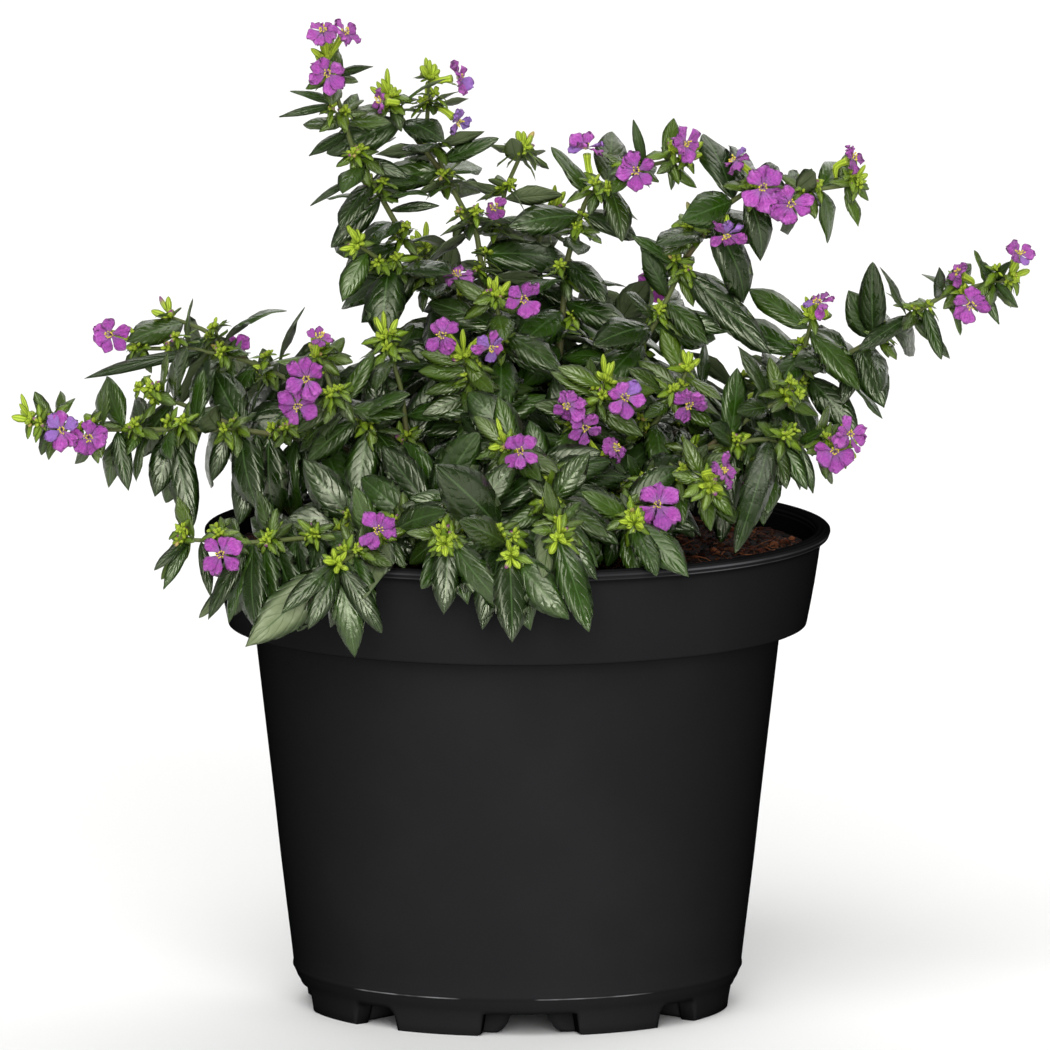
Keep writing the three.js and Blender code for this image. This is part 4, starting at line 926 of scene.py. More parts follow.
@dataclass
class Shell:
    """Closed surfaces of one piece, gathered until they become one mesh."""

    points: list[np.ndarray] = field(default_factory=list)
    quads: list[np.ndarray] = field(default_factory=list)
    corners: list[np.ndarray] = field(default_factory=list)
    quad_skins: list[np.ndarray] = field(default_factory=list)
    corner_skins: list[np.ndarray] = field(default_factory=list)
    values: dict[str, list[np.ndarray]] = field(default_factory=lambda: {key: [] for key in VALUES})
    count: int = 0

    def add(
        self, rings: np.ndarray, start: np.ndarray, end: np.ndarray, skin: Skin, **values: np.ndarray
    ) -> None:
        """Adds a set of closed bodies that have the same number of rings and sides.

        Args:
            rings: points as body, ring, side and axis.
            start: the point that closes the first ring of each body.
            end: the point that closes the last.
            skin: the finish that they wear.
            values: numbers that the finish reads, each as body, ring and side.
        """
        bodies, rows, sides = rings.shape[:3]
        flat = rings.reshape(bodies, rows * sides, 3)
        points = np.concatenate([flat, start[:, None], end[:, None]], axis=1)
        quads, caps = loft_faces(rows, sides)
        offsets = self.count + np.arange(bodies)[:, None, None] * points.shape[1]
        self.points.append(points.reshape(-1, 3))
        self.quads.append((quads + offsets).reshape(-1, 4))
        self.corners.append((caps + offsets).reshape(-1, 3))
        self.quad_skins.append(np.full(bodies * len(quads), skin.value))
        self.corner_skins.append(np.full(bodies * len(caps), skin.value))
        self.count += points.shape[0] * points.shape[1]
        for key in VALUES:
            grid = np.broadcast_to(values.get(key, np.zeros(1)), (bodies, rows, sides))
            ends = np.stack([grid[:, 0].mean(axis=1), grid[:, -1].mean(axis=1)], axis=1)
            self.values[key].append(np.concatenate([grid.reshape(bodies, -1), ends], axis=1).ravel())

    def build(self, name: str, materials: list[bpy.types.Material]) -> bpy.types.Object:
        """Makes one object of everything gathered.

        Args:
            name: the piece's name.
            materials: its finishes, in the order of their slots.

        Returns:
            The object, at the origin, with its place in its mesh.
        """
        quads = np.concatenate(self.quads)
        corners = np.concatenate(self.corners)
        mesh = bpy.data.meshes.new(name)
        points = np.concatenate(self.points) * MILLIMETRE
        mesh.vertices.add(len(points))
        mesh.vertices.foreach_set("co", points.ravel())
        loops = np.concatenate([quads.ravel(), corners.ravel()]).astype(np.int32)
        mesh.loops.add(len(loops))
        mesh.loops.foreach_set("vertex_index", loops)
        starts = np.concatenate([np.arange(len(quads)) * 4, len(quads) * 4 + np.arange(len(corners)) * 3])
        mesh.polygons.add(len(starts))
        mesh.polygons.foreach_set("loop_start", starts.astype(np.int32))
        skins = np.concatenate(self.quad_skins + self.corner_skins)
        worn = sorted(set(skins.tolist())) if len(materials) > 1 else [0]
        skins = np.searchsorted(worn, skins) if len(materials) > 1 else skins * 0
        mesh.polygons.foreach_set("material_index", skins.astype(np.int32))
        mesh.polygons.foreach_set("use_smooth", np.ones(len(starts), dtype=bool))
        for key in VALUES:
            layer = mesh.attributes.new(name=key, type="FLOAT", domain="POINT")
            layer.data.foreach_set("value", np.concatenate(self.values[key]).astype(np.float32))
        mesh.update(calc_edges=True)
        mesh.validate()
        for index in worn:
            mesh.materials.append(materials[index])
        piece = bpy.data.objects.new(name, mesh)
        bpy.context.scene.collection.objects.link(piece)
        return piece


def linear(colour: Colour) -> tuple[float, float, float, float]:
    """A colour given in screen values from 0 to 255, turned to light values."""
    share = np.array(colour) / 255
    light = np.where(share <= 0.04045, share / 12.92, ((share + 0.055) / 1.055) ** 2.4)
    return (float(light[0]), float(light[1]), float(light[2]), 1.0)


Socket = bpy.types.NodeSocket


class Mixture:
    """A material under way: short ways to add the nodes that its pattern needs."""

    def __init__(self, name: str, roughness: float, gloss: float = 0.5) -> None:
        """Starts a material.

        Args:
            name: the material's name.
            roughness: how matt it is where no pattern says otherwise.
            gloss: strength of its mirror-like part.
        """
        self.material = bpy.data.materials.new(name)
        self.material.use_nodes = True
        self.tree = self.material.node_tree
        self.shader = self.tree.nodes["Principled BSDF"]
        self.shader.inputs["Roughness"].default_value = roughness
        self.shader.inputs["Specular IOR Level"].default_value = gloss
        self.place = self.tree.nodes.new("ShaderNodeTexCoord").outputs["Object"]

    def set(self, **given: float | tuple) -> None:
        """Sets plain numbers or colours on the shader, each socket's name joined by _."""
        for key, plain in given.items():
            self.shader.inputs[key.replace("_", " ").title()].default_value = plain

    def feed(self, node: bpy.types.Node, slot: int | str, given: Socket | float | Colour) -> None:
        """Links a socket into a node, or sets a plain number or colour there."""
        if isinstance(given, bpy.types.NodeSocket):
            self.tree.links.new(given, node.inputs[slot])
        else:
            node.inputs[slot].default_value = linear(given) if isinstance(given, tuple) else given

    def value(self, name: str) -> Socket:
        """A number that the mesh carries at each point."""
        node = self.tree.nodes.new("ShaderNodeAttribute")
        node.attribute_name = name
        return node.outputs["Fac"]

    def math(self, operation: str, *given: Socket | float) -> Socket:
        """One sum on one to three numbers."""
        node = self.tree.nodes.new("ShaderNodeMath")
        node.operation = operation
        for slot, number in enumerate(given):
            self.feed(node, slot, number)
        return node.outputs[0]

    def times(self, first: Socket | float, second: Socket | float) -> Socket:
        """Two numbers multiplied."""
        return self.math("MULTIPLY", first, second)

    def span(self, given: Socket, low: float, high: float, start: float = 0.0, end: float = 1.0) -> Socket:
        """A number carried smoothly from one span to another and held at its ends."""
        node = self.tree.nodes.new("ShaderNodeMapRange")
        node.interpolation_type = "SMOOTHSTEP"
        for slot, number in enumerate((given, low, high, start, end)):
            self.feed(node, slot, number)
        return node.outputs[0]

    def blend(self, share: Socket | float, first: Socket | Colour, second: Socket | Colour) -> Socket:
        """Two colours mixed by a share."""
        node = self.tree.nodes.new("ShaderNodeMix")
        node.data_type = "RGBA"
        self.feed(node, 0, share)
        self.feed(node, 6, first)
        self.feed(node, 7, second)
        return node.outputs[2]

    def noise(self, scale: float, detail: float = 3.0, stretch: tuple = (1, 1, 1)) -> Socket:
        """Soft noise on the piece's own place, with its grain drawn out along axes."""
        mapping = self.tree.nodes.new("ShaderNodeMapping")
        mapping.inputs["Scale"].default_value = stretch
        self.tree.links.new(self.place, mapping.inputs["Vector"])
        node = self.tree.nodes.new("ShaderNodeTexNoise")
        node.inputs["Scale"].default_value = scale
        node.inputs["Detail"].default_value = detail
        self.tree.links.new(mapping.outputs[0], node.inputs["Vector"])
        return node.outputs["Fac"]

    def edge_on(self) -> Socket:
        """How far the surface is turned away from the eye, from 0 to 1."""
        node = self.tree.nodes.new("ShaderNodeLayerWeight")
        node.inputs["Blend"].default_value = 0.5
        return node.outputs["Facing"]

    def pattern(self, across: Socket, along: Socket, scale: float, detail: float = 2.0) -> Socket:
        """Soft noise on two numbers that the surface carries."""
        join = self.tree.nodes.new("ShaderNodeCombineXYZ")
        self.feed(join, 0, across)
        self.feed(join, 1, along)
        self.feed(join, 2, self.value("tint"))
        node = self.tree.nodes.new("ShaderNodeTexNoise")
        node.inputs["Scale"].default_value = scale
        node.inputs["Detail"].default_value = detail
        self.tree.links.new(join.outputs[0], node.inputs["Vector"])
        return node.outputs["Fac"]

    def colour(self, given: Socket | Colour) -> None:
        """Sets what the shader takes as its colour."""
        self.feed(self.shader, "Base Color", given)

    def roughness(self, given: Socket) -> None:
        """Sets a roughness that changes over the surface."""
        self.feed(self.shader, "Roughness", given)

    def relief(self, height: Socket, depth: float, strength: float = 1.0) -> None:
        """Raises and sinks the surface by a height.

        Args:
            height: the pattern, from 0 to 1.
            depth: what 1 stands for, in metres.
            strength: share of the relief that shows.
        """
        bump = self.tree.nodes.new("ShaderNodeBump")
        bump.inputs["Strength"].default_value = strength
        bump.inputs["Distance"].default_value = depth
        self.tree.links.new(height, bump.inputs["Height"])
        self.tree.links.new(bump.outputs[0], self.shader.inputs["Normal"])

    def glow_through(self, share: Socket | float, colour: Socket | Colour) -> None:
        """Lets light through the thin surface, as it does through leaves and petals.

        Args:
            share: how much of the surface's light comes through it.
            colour: the colour of that light.
        """
        thin = self.tree.nodes.new("ShaderNodeBsdfTranslucent")
        self.feed(thin, "Color", colour)
        joined = self.tree.nodes.new("ShaderNodeMixShader")
        self.feed(joined, 0, share)
        self.tree.links.new(self.shader.outputs[0], joined.inputs[1])
        self.tree.links.new(thin.outputs[0], joined.inputs[2])
        self.tree.links.new(joined.outputs[0], self.tree.nodes["Material Output"].inputs["Surface"])


@dataclass(frozen=True)
class LeafFinish:
    """Glossy dark green above with arched side veins, pale below, limer when young."""

    dark: Colour = (21, 39, 7)
    fresh: Colour = (38, 65, 11)
    young: Colour = (130, 162, 32)
    vein: Colour = (86, 116, 66)
    pale: Colour = (98, 110, 76)
    # painted shade in the grooves of the side veins
    painted_groove_shade: Colour = (12, 22, 8)
    sheen: Colour = (250, 255, 226)
    veins: float = 7.2

    def material(self) -> bpy.types.Material:
        """Makes the material.

        A side vein starts on the midrib and arches to the tip: its number is veins times
        (along - 0.2 across - 0.15 across squared), and the vein lies where that is whole.
        Between the veins the blade rises to a flat top, less near the midrib, and fine
        noise blisters it all over and varies its polish. The side veins' grooves are
        darkened with painted shade.
        """
        mix = Mixture("leaf_green", 0.36, 0.8)
        mix.set(specular_tint=linear(self.sheen))
        along = mix.value("along")
        across = mix.math("ABSOLUTE", mix.value("across"))
        under = mix.value("under")
        young = mix.math("POWER", mix.value("young"), 3.2)
        tint = mix.value("tint")
        lag = mix.times(across, mix.math("MULTIPLY_ADD", across, 0.15, 0.2))
        drift = mix.math("MULTIPLY_ADD", mix.noise(110, 1), 0.22, tint)
        number = mix.math("MULTIPLY_ADD", mix.math("SUBTRACT", along, lag), self.veins, drift)
        hump = mix.math("ABSOLUTE", mix.math("SINE", mix.times(number, math.pi)))
        side_vein = mix.span(hump, 0.0, 0.24, 1.0, 0.0)
        midrib = mix.span(across, 0.015, 0.07, 1.0, 0.0)
        vein = mix.math("MAXIMUM", mix.times(side_vein, 0.5), midrib)
        mottle = mix.noise(160, 3)
        shade = mix.span(mix.math("ADD", tint, mix.math("SUBTRACT", mottle, 0.5)), 0.3, 1.1)
        green = mix.blend(shade, self.dark, self.fresh)
        # painted shade: the side veins' grooves darkened
        green = mix.blend(mix.times(side_vein, 0.3), green, self.painted_groove_shade)
        green = mix.blend(mix.times(midrib, 0.4), green, self.vein)
        green = mix.blend(mix.span(across, 0.86, 1.0, 0.0, 0.3), green, self.vein)
        green = mix.blend(mix.times(young, 0.9), green, self.young)
        pale = mix.blend(mix.times(vein, 0.9), self.pale, self.fresh)
        mix.colour(mix.blend(under, green, pale))
        polish = mix.span(mix.noise(230, 2), 0.35, 0.65, 0.17, 0.4)
        mix.roughness(mix.math("MULTIPLY_ADD", under, 0.3, polish))
        quilt = mix.times(mix.math("POWER", hump, 0.4), mix.span(across, 0.0, 0.3))
        blister = mix.math("MULTIPLY_ADD", mix.noise(560, 2), 0.3, mix.times(mottle, 0.7))
        mix.relief(mix.math("MULTIPLY_ADD", quilt, 0.25, blister), 0.0006, 1.0)
        mix.glow_through(mix.span(young, 0.0, 1.0, 0.05, 0.26), self.young)
        return mix.material


@dataclass(frozen=True)
class WoodFinish:
    """Thin stems: red-brown and barky below, green above, with fine hairs' roughness."""

    brown: Colour = (84, 60, 42)
    green: Colour = (80, 90, 42)
    bark: Colour = (60, 38, 28)

    def material(self) -> bpy.types.Material:
        """Makes the material; its share of green is the mesh's value named young."""
        mix = Mixture("stem_bark", 0.62, 0.35)
        grain = mix.noise(900, 4, (1, 1, 0.25))
        brown = mix.blend(mix.span(grain, 0.35, 0.7), self.bark, self.brown)
        mix.colour(mix.blend(mix.span(mix.value("young"), 0.1, 0.75), brown, self.green))
        mix.relief(grain, 0.0003, 0.7)
        return mix.material


@dataclass(frozen=True)
class BudFinish:
    """Lime-green ribbed buds and calyx tubes, some flushed purple or dried to tan."""

    lime: Colour = (194, 214, 66)
    shade: Colour = (138, 168, 38)
    purple: Colour = (150, 70, 140)
    tan: Colour = (206, 182, 108)

    def material(self) -> bpy.types.Material:
        """Makes the material: six ribs round each bud, paler along their ridges."""
        mix = Mixture("bud_lime", 0.48, 0.4)
        around = mix.times(mix.value("across"), 3 * math.pi)
        rib = mix.math("ABSOLUTE", mix.math("SINE", around))
        tint = mix.value("tint")
        green = mix.blend(mix.times(rib, 0.7), self.shade, self.lime)
        tip = mix.times(mix.span(mix.value("along"), 0.55, 0.95), mix.span(tint, 0.86, 0.9))
        flushed = mix.blend(tip, green, self.purple)
        mix.colour(mix.blend(mix.span(tint, 0.975, 0.985), flushed, self.tan))
        mix.relief(rib, 0.00035, 0.8)
        mix.glow_through(0.14, self.lime)
        return mix.material


@dataclass(frozen=True)
class PetalFinish:
    """Crinkled thin petals: magenta-purple with darker veins, lilac when they age."""

    magenta: Colour = (206, 82, 198)
    edge: Colour = (226, 126, 222)
    vein: Colour = (132, 32, 138)
    claw: Colour = (188, 138, 206)
    lilac: Colour = (150, 132, 214)

    def material(self) -> bpy.types.Material:
        """Makes the material: veins fan out from the claw, and fine noise crinkles it."""
        mix = Mixture("petal_magenta", 0.55, 0.3)
        mix.set(sheen_weight=0.25, sheen_roughness=0.5)
        along = mix.value("along")
        across = mix.value("across")
        fan = mix.math("ABSOLUTE", mix.math("SINE", mix.times(across, 9.0)))
        vein = mix.times(mix.span(fan, 0.0, 0.4, 1.0, 0.0), mix.span(along, 0.4, 1.0, 1.0, 0.35))
        crinkle = mix.pattern(across, mix.times(along, 2.5), 3.2, 3.0)
        pink = mix.blend(mix.span(along, 0.35, 1.0), self.magenta, self.edge)
        # painted shade: the crinkle's hollows darkened towards the vein colour
        pink = mix.blend(mix.span(crinkle, 0.35, 0.7, 0.5, 0.0), pink, self.vein)
        pink = mix.blend(mix.span(along, 0.15, 0.62, 0.75, 0.0), pink, self.claw)
        pink = mix.blend(mix.times(vein, 0.8), pink, self.vein)
        pink = mix.blend(mix.span(mix.value("tint"), 0.0, 1.0, 0.0, 0.4), pink, self.vein)
        mix.colour(mix.blend(mix.times(mix.value("young"), 0.85), pink, self.lilac))
        mix.relief(crinkle, 0.0013, 1.0)
        mix.glow_through(0.3, self.edge)
        return mix.material


@dataclass(frozen=True)
class StamenFinish:
    """Short pale filaments with yellow ends."""

    white: Colour = (226, 214, 196)
    yellow: Colour = (208, 190, 74)

    def material(self) -> bpy.types.Material:
        """Makes the material, which turns yellow from 0.45 to 0.7 of each filament."""
        mix = Mixture("stamen_pale", 0.6, 0.3)
        ends = mix.span(mix.value("along"), 0.45, 0.7)
        mix.colour(mix.blend(ends, self.white, self.yellow))
        return mix.material


@dataclass(frozen=True)
class PotFinish:
    """Matt black moulded plastic with fine level lines and a faint bloom of dust.

    The mould's seam above the foot carries a painted highlight in two stretches, the
    lip's two beads carry painted highlights, and painted shade darkens the black where
    the surface turns away from the eye. Heights and stretches are in metres.
    """

    black: Colour = (31, 31, 32)
    dust: Colour = (36, 36, 37)
    # painted shade: the near-black the pot darkens to where its surface turns away from the eye
    edge: Colour = (6, 6, 7)
    # painted highlight: a pale line along the ledge at the seam above the foot
    painted_seam_highlight: Colour = (150, 150, 152)
    # painted highlight: the lighter colour laid on the lip's two beads
    polish: Colour = (80, 80, 82)
    painted_highlight_stretches: tuple[tuple[float, float], ...] = ((-0.0526, -0.0177), (0.005, 0.0439))
    stretch_fade: float = 0.004
    seam_height: float = 0.0124
    upper_bead: float = 0.1525
    lower_bead: float = 0.1511

    def split_place(self, mix: Mixture) -> tuple[Socket, Socket]:
        """Where a point lies across the pot and how high, to find the worn mould seam."""
        node = mix.tree.nodes.new("ShaderNodeSeparateXYZ")
        mix.tree.links.new(mix.place, node.inputs[0])
        return node.outputs["X"], node.outputs["Z"]

    def stretches(self, mix: Mixture, across: Socket) -> Socket:
        """Where the seam carries its painted highlight: 1 along each stretch of it and 0 between them."""
        fade = self.stretch_fade
        shares = [
            mix.times(mix.span(across, start, start + fade), mix.span(across, end - fade, end, 1.0, 0.0))
            for start, end in self.painted_highlight_stretches
        ]
        return mix.math("ADD", *shares)

    def band(self, mix: Mixture, height: Socket, middle: float, reach: float) -> Socket:
        """A thin level band, 1 at its middle height and 0 beyond its reach, in metres."""
        off = mix.math("ABSOLUTE", mix.math("SUBTRACT", height, middle))
        return mix.span(off, 0.3 * reach, reach, 1.0, 0.0)

    def material(self) -> bpy.types.Material:
        """Makes the material: noise drawn out round the pot gives its level lines."""
        mix = Mixture("pot_black", 0.58, 0.0)
        lines = mix.noise(110, 5, (0.3, 0.3, 6))
        cloud = mix.noise(18, 3)
        grain = mix.noise(1500, 2)
        dust_and_painted_light = mix.blend(mix.span(cloud, 0.4, 0.75, 0.0, 0.6), self.black, self.dust)
        across, height = self.split_place(mix)
        seam = mix.times(self.band(mix, height, self.seam_height, 0.0003), self.stretches(mix, across))
        # painted highlight along the seam, broken up by noise
        worn = mix.times(seam, mix.span(mix.noise(90, 2), 0.35, 0.6, 0.1, 0.6))
        # painted highlights on the lip's two beads, broken up by noise
        upper = self.band(mix, height, self.upper_bead, 0.0005)
        lower = self.band(mix, height, self.lower_bead, 0.0003)
        painted_bead_highlight = mix.math("MAXIMUM", upper, lower)
        painted_bead_highlight = mix.times(painted_bead_highlight, mix.span(mix.noise(30, 2), 0.35, 0.65, 0.2, 0.9))
        # painted shade: the colour darkens where the surface turns away from the eye
        turned = mix.math("POWER", mix.edge_on(), 1.2)
        dust_and_painted_light = mix.blend(turned, dust_and_painted_light, self.edge)
        dust_and_painted_light = mix.blend(painted_bead_highlight, dust_and_painted_light, self.polish)
        mix.colour(mix.blend(worn, dust_and_painted_light, self.painted_seam_highlight))
        mix.roughness(mix.span(mix.math("ADD", lines, mix.times(cloud, 0.5)), 0.5, 1.0, 0.48, 0.6))
        mix.relief(mix.math("MULTIPLY_ADD", grain, 0.25, lines), 0.00015, 0.25)
        return mix.material


@dataclass(frozen=True)
class PeatFinish:
    """Moist dark red-brown peat with lighter fibres."""

    dark: Colour = (15, 6, 4)
    brown: Colour = (92, 40, 22)
    fibre: Colour = (158, 96, 60)

    def material(self) -> bpy.types.Material:
        """Makes the material; the mesh's value named tint tells fibres from crumb."""
        mix = Mixture("peat_brown", 0.92, 0.2)
        crumb = mix.noise(700, 6)
        clod = mix.noise(150, 3)
        lit = mix.span(mix.math("ADD", crumb, clod), 0.95, 1.3)
        soil = mix.blend(lit, self.dark, self.brown)
        mix.colour(mix.blend(mix.value("tint"), soil, self.fibre))
        mix.relief(crumb, 0.0018, 1.0)
        return mix.material


def waves(count: int, shortest: float, longest: float, seed: int) -> np.ndarray:
    """Seeded waves that together make a lumpy surface.

    Args:
        count: number of waves.
        shortest: least wavelength.
        longest: greatest wavelength.
        seed: where the draws start.

    Returns:
        For each wave its two steepnesses, its start and its height.
    """
    draws = np.random.default_rng(seed)
    size = shortest * (longest / shortest) ** draws.random(count)
    way = draws.random(count) * 2 * math.pi
    steep = 2 * math.pi / size
    return np.stack([steep * np.cos(way), steep * np.sin(way), draws.random(count) * 7, size / longest])


def lumpy(x: np.ndarray, y: np.ndarray, waving: np.ndarray) -> np.ndarray:
    """The sum of waves at each place, divided so that it stays near -1 to 1."""
    phase = x[..., None] * waving[0] + y[..., None] * waving[1] + waving[2]
    return (np.sin(phase) * waving[3]).sum(axis=-1) / np.sqrt((waving[3] ** 2).sum())


@dataclass
class NurseryPot:
    """Round pot with a rolled lip of two beads, a collar, a tapered body and a notched foot."""

    segments: int = 360
    wide_notch: float = 32.6
    narrow_notch: float = 17.6
    notch_corner: float = 1.6
    channel_above: float = 6.0
    channel_below: float = 12.0
    pad_inner: float = 36.0
    pad_outer: float = 61.7

    def outline(self) -> np.ndarray:
        """Radius and height of the wall, from under the floor round to its upper side."""
        inner = COLLAR_TOP_RADIUS - WALL
        return np.array([
            [4, FLOOR_BOTTOM], [30, FLOOR_BOTTOM], [54, FLOOR_BOTTOM], [61.2, FLOOR_BOTTOM],
            [61.9, FLOOR_BOTTOM - 0.5], [62.3, 5], [62.9, 0.35], [63.4, 0.0], [65.6, 0.0], [67.8, 0.0],
            [68.15, 0.3], [68.5, 3.0], [68.95, 5.6], [69.3, 7.3], [69.9, 8.7], [70.6, 9.8], [71.15, 11.2],
            [71.6, 12.2], [71.95, 12.75], [71.9, 13.4], [71.75, 14.2], [72.4, 20], [74, 33], [75.9, 49],
            [77.6, 65], [79.4, 81], [81.3, 97.5], [83.2, 114], [84.0, 121.2], [84.5, 122.6],
            [85.6, 123.05], [91.9, 123.0], [92.45, 123.25], [92.6, 123.9], [93.8, 130], [95, 136.6],
            [96, 143], [96.5, 146.4], [96.85, 148.4], [97.2, 149.3], [98.0, 150.1], [98.9, 150.7],
            [99.45, 151.15], [99.6, 151.55], [99.45, 151.85], [99.8, 152.1], [100.0, 152.6], [99.95, 153.2],
            [99.6, 153.6], [99.2, 153.72], [98.95, 153.55], [98.7, 153.75], [98.3, 153.97], [97.7, 153.97],
            [97.35, 153.75], [97.1, 153.6], [96.85, 153.8], [96.4, 153.9], [95.9, 153.8], [95.5, 153.3],
            [inner, 152.2], [inner, 150],
            [94.4, 143], [92.3, 130], [91.0, 125.2], [90.4, 124.75], [83.4, 124.6], [82.7, 124.0],
            [81.6, 114], [77.8, 81], [74.3, 49], [70.6, 17], [70.0, 11.6], [69.3, FLOOR_TOP],
            [54, FLOOR_TOP], [30, FLOOR_TOP], [4, FLOOR_TOP],
        ])

    def rings(self) -> np.ndarray:
        """The wall turned about +Z, lifted where a notch opens the foot.

        Wide and narrow notches take turns. A notch's lift is its height within its width,
        falls to nothing across its rounded corners, and raises every point of the foot
        that is lower than itself.
        """
        outline = self.outline()
        turn = np.arange(self.segments) * 2 * math.pi / self.segments
        period = 2 * math.pi / NOTCH_COUNT
        around = turn + math.pi / 2 - NOTCH_TURN + period / 2
        off = np.abs(around % period - period / 2) * FOOT_RADIUS
        width = np.where(np.floor(around / period) % 2 == 0, self.wide_notch, self.narrow_notch)
        rise = (width / 2 - off) / self.notch_corner
        rise = np.clip(rise, 0, 1)
        lift = NOTCH_HEIGHT * rise * rise * (3 - 2 * rise)
        radius = np.broadcast_to(outline[:, 0, None], (len(outline), self.segments))
        height = np.maximum(outline[:, 1, None], lift[None])
        x = radius * np.cos(turn)
        y = radius * np.sin(turn)
        return np.stack([x, y, height], axis=-1)

    def build(self, plastic: bpy.types.Material) -> bpy.types.Object:
        """Makes the pot, with its drain holes cut through the floor."""
        shell = Shell()
        rings = self.rings()[:, ::-1][None]
        middle = np.array([[0.0, 0.0, FLOOR_BOTTOM]])
        shell.add(rings, middle, middle + UP * (FLOOR_TOP - FLOOR_BOTTOM), Skin.LEAF)
        self.add_pads(shell)
        piece = shell.build("nursery_pot", [plastic])
        cutters = Shell()
        turn = -np.arange(24) * 2 * math.pi / 24
        spot = math.pi / 4 + np.arange(DRAIN_COUNT) * 2 * math.pi / DRAIN_COUNT
        centre = np.stack([np.cos(spot), np.sin(spot), spot * 0], axis=-1) * DRAIN_CIRCLE
        circle = np.stack([np.cos(turn), np.sin(turn), turn * 0], axis=-1) * DRAIN_RADIUS
        heights = np.array([FLOOR_BOTTOM - 0.03, FLOOR_TOP + 3])
        rings = centre[:, None, None] + circle[None, None, ::-1] + UP * heights[None, :, None, None]
        cutters.add(rings, centre + UP * heights[0], centre + UP * heights[1], Skin.LEAF)
        cutter = cutters.build("drain_cutter", [plastic])
        cut = piece.modifiers.new("drain holes", "BOOLEAN")
        cut.operation = "DIFFERENCE"
        cut.solver = "EXACT"
        cut.object = cutter
        bpy.context.view_layer.update()
        evaluated = piece.evaluated_get(bpy.context.evaluated_depsgraph_get())
        finished = bpy.data.meshes.new_from_object(evaluated)
        piece.modifiers.clear()
        piece.data = finished
        bpy.data.objects.remove(cutter)
        return piece

    def add_pads(self, shell: Shell) -> None:
        """Adds the pads under the floor, whose rounded sides line the drain channels.

        Half of a channel's width at a height z is its width above plus the rest of its
        width below times 1 - the square root of 1 - (1 - z / 7) squared, so the pads'
        lower corners are round. Each pad is the sector between two such channels.
        """
        height = np.array([8.95, 7.0, 5.2, 3.6, 2.2, 1.1, 0.3])
        curve = 1 - np.sqrt(1 - (1 - np.minimum(height, 7) / 7) ** 2)
        half = self.channel_above + (self.channel_below - self.channel_above) * curve
        steps = np.linspace(0, 1, 10)
        period = 2 * math.pi / NOTCH_COUNT
        first = -math.pi / 2 + NOTCH_TURN + np.arange(NOTCH_COUNT) * period
        arcs = []
        for radius, share in ((self.pad_outer, steps), (self.pad_inner, steps[::-1])):
            off = np.arcsin(half / radius)[:, None]
            turn = first[:, None, None] + off + (period - 2 * off) * share
            arcs.append(radius * np.stack([np.cos(turn), np.sin(turn)], axis=-1))
        plan = np.concatenate(arcs, axis=2)[:, ::-1]
        level = np.broadcast_to(height[::-1, None, None], plan.shape[:3] + (1,))
        rings = np.concatenate([plan, level], axis=-1)
        low = rings[:, 0].mean(axis=1)
        high = rings[:, -1].mean(axis=1)
        shell.add(rings[:, :, ::-1], low, high, Skin.LEAF)


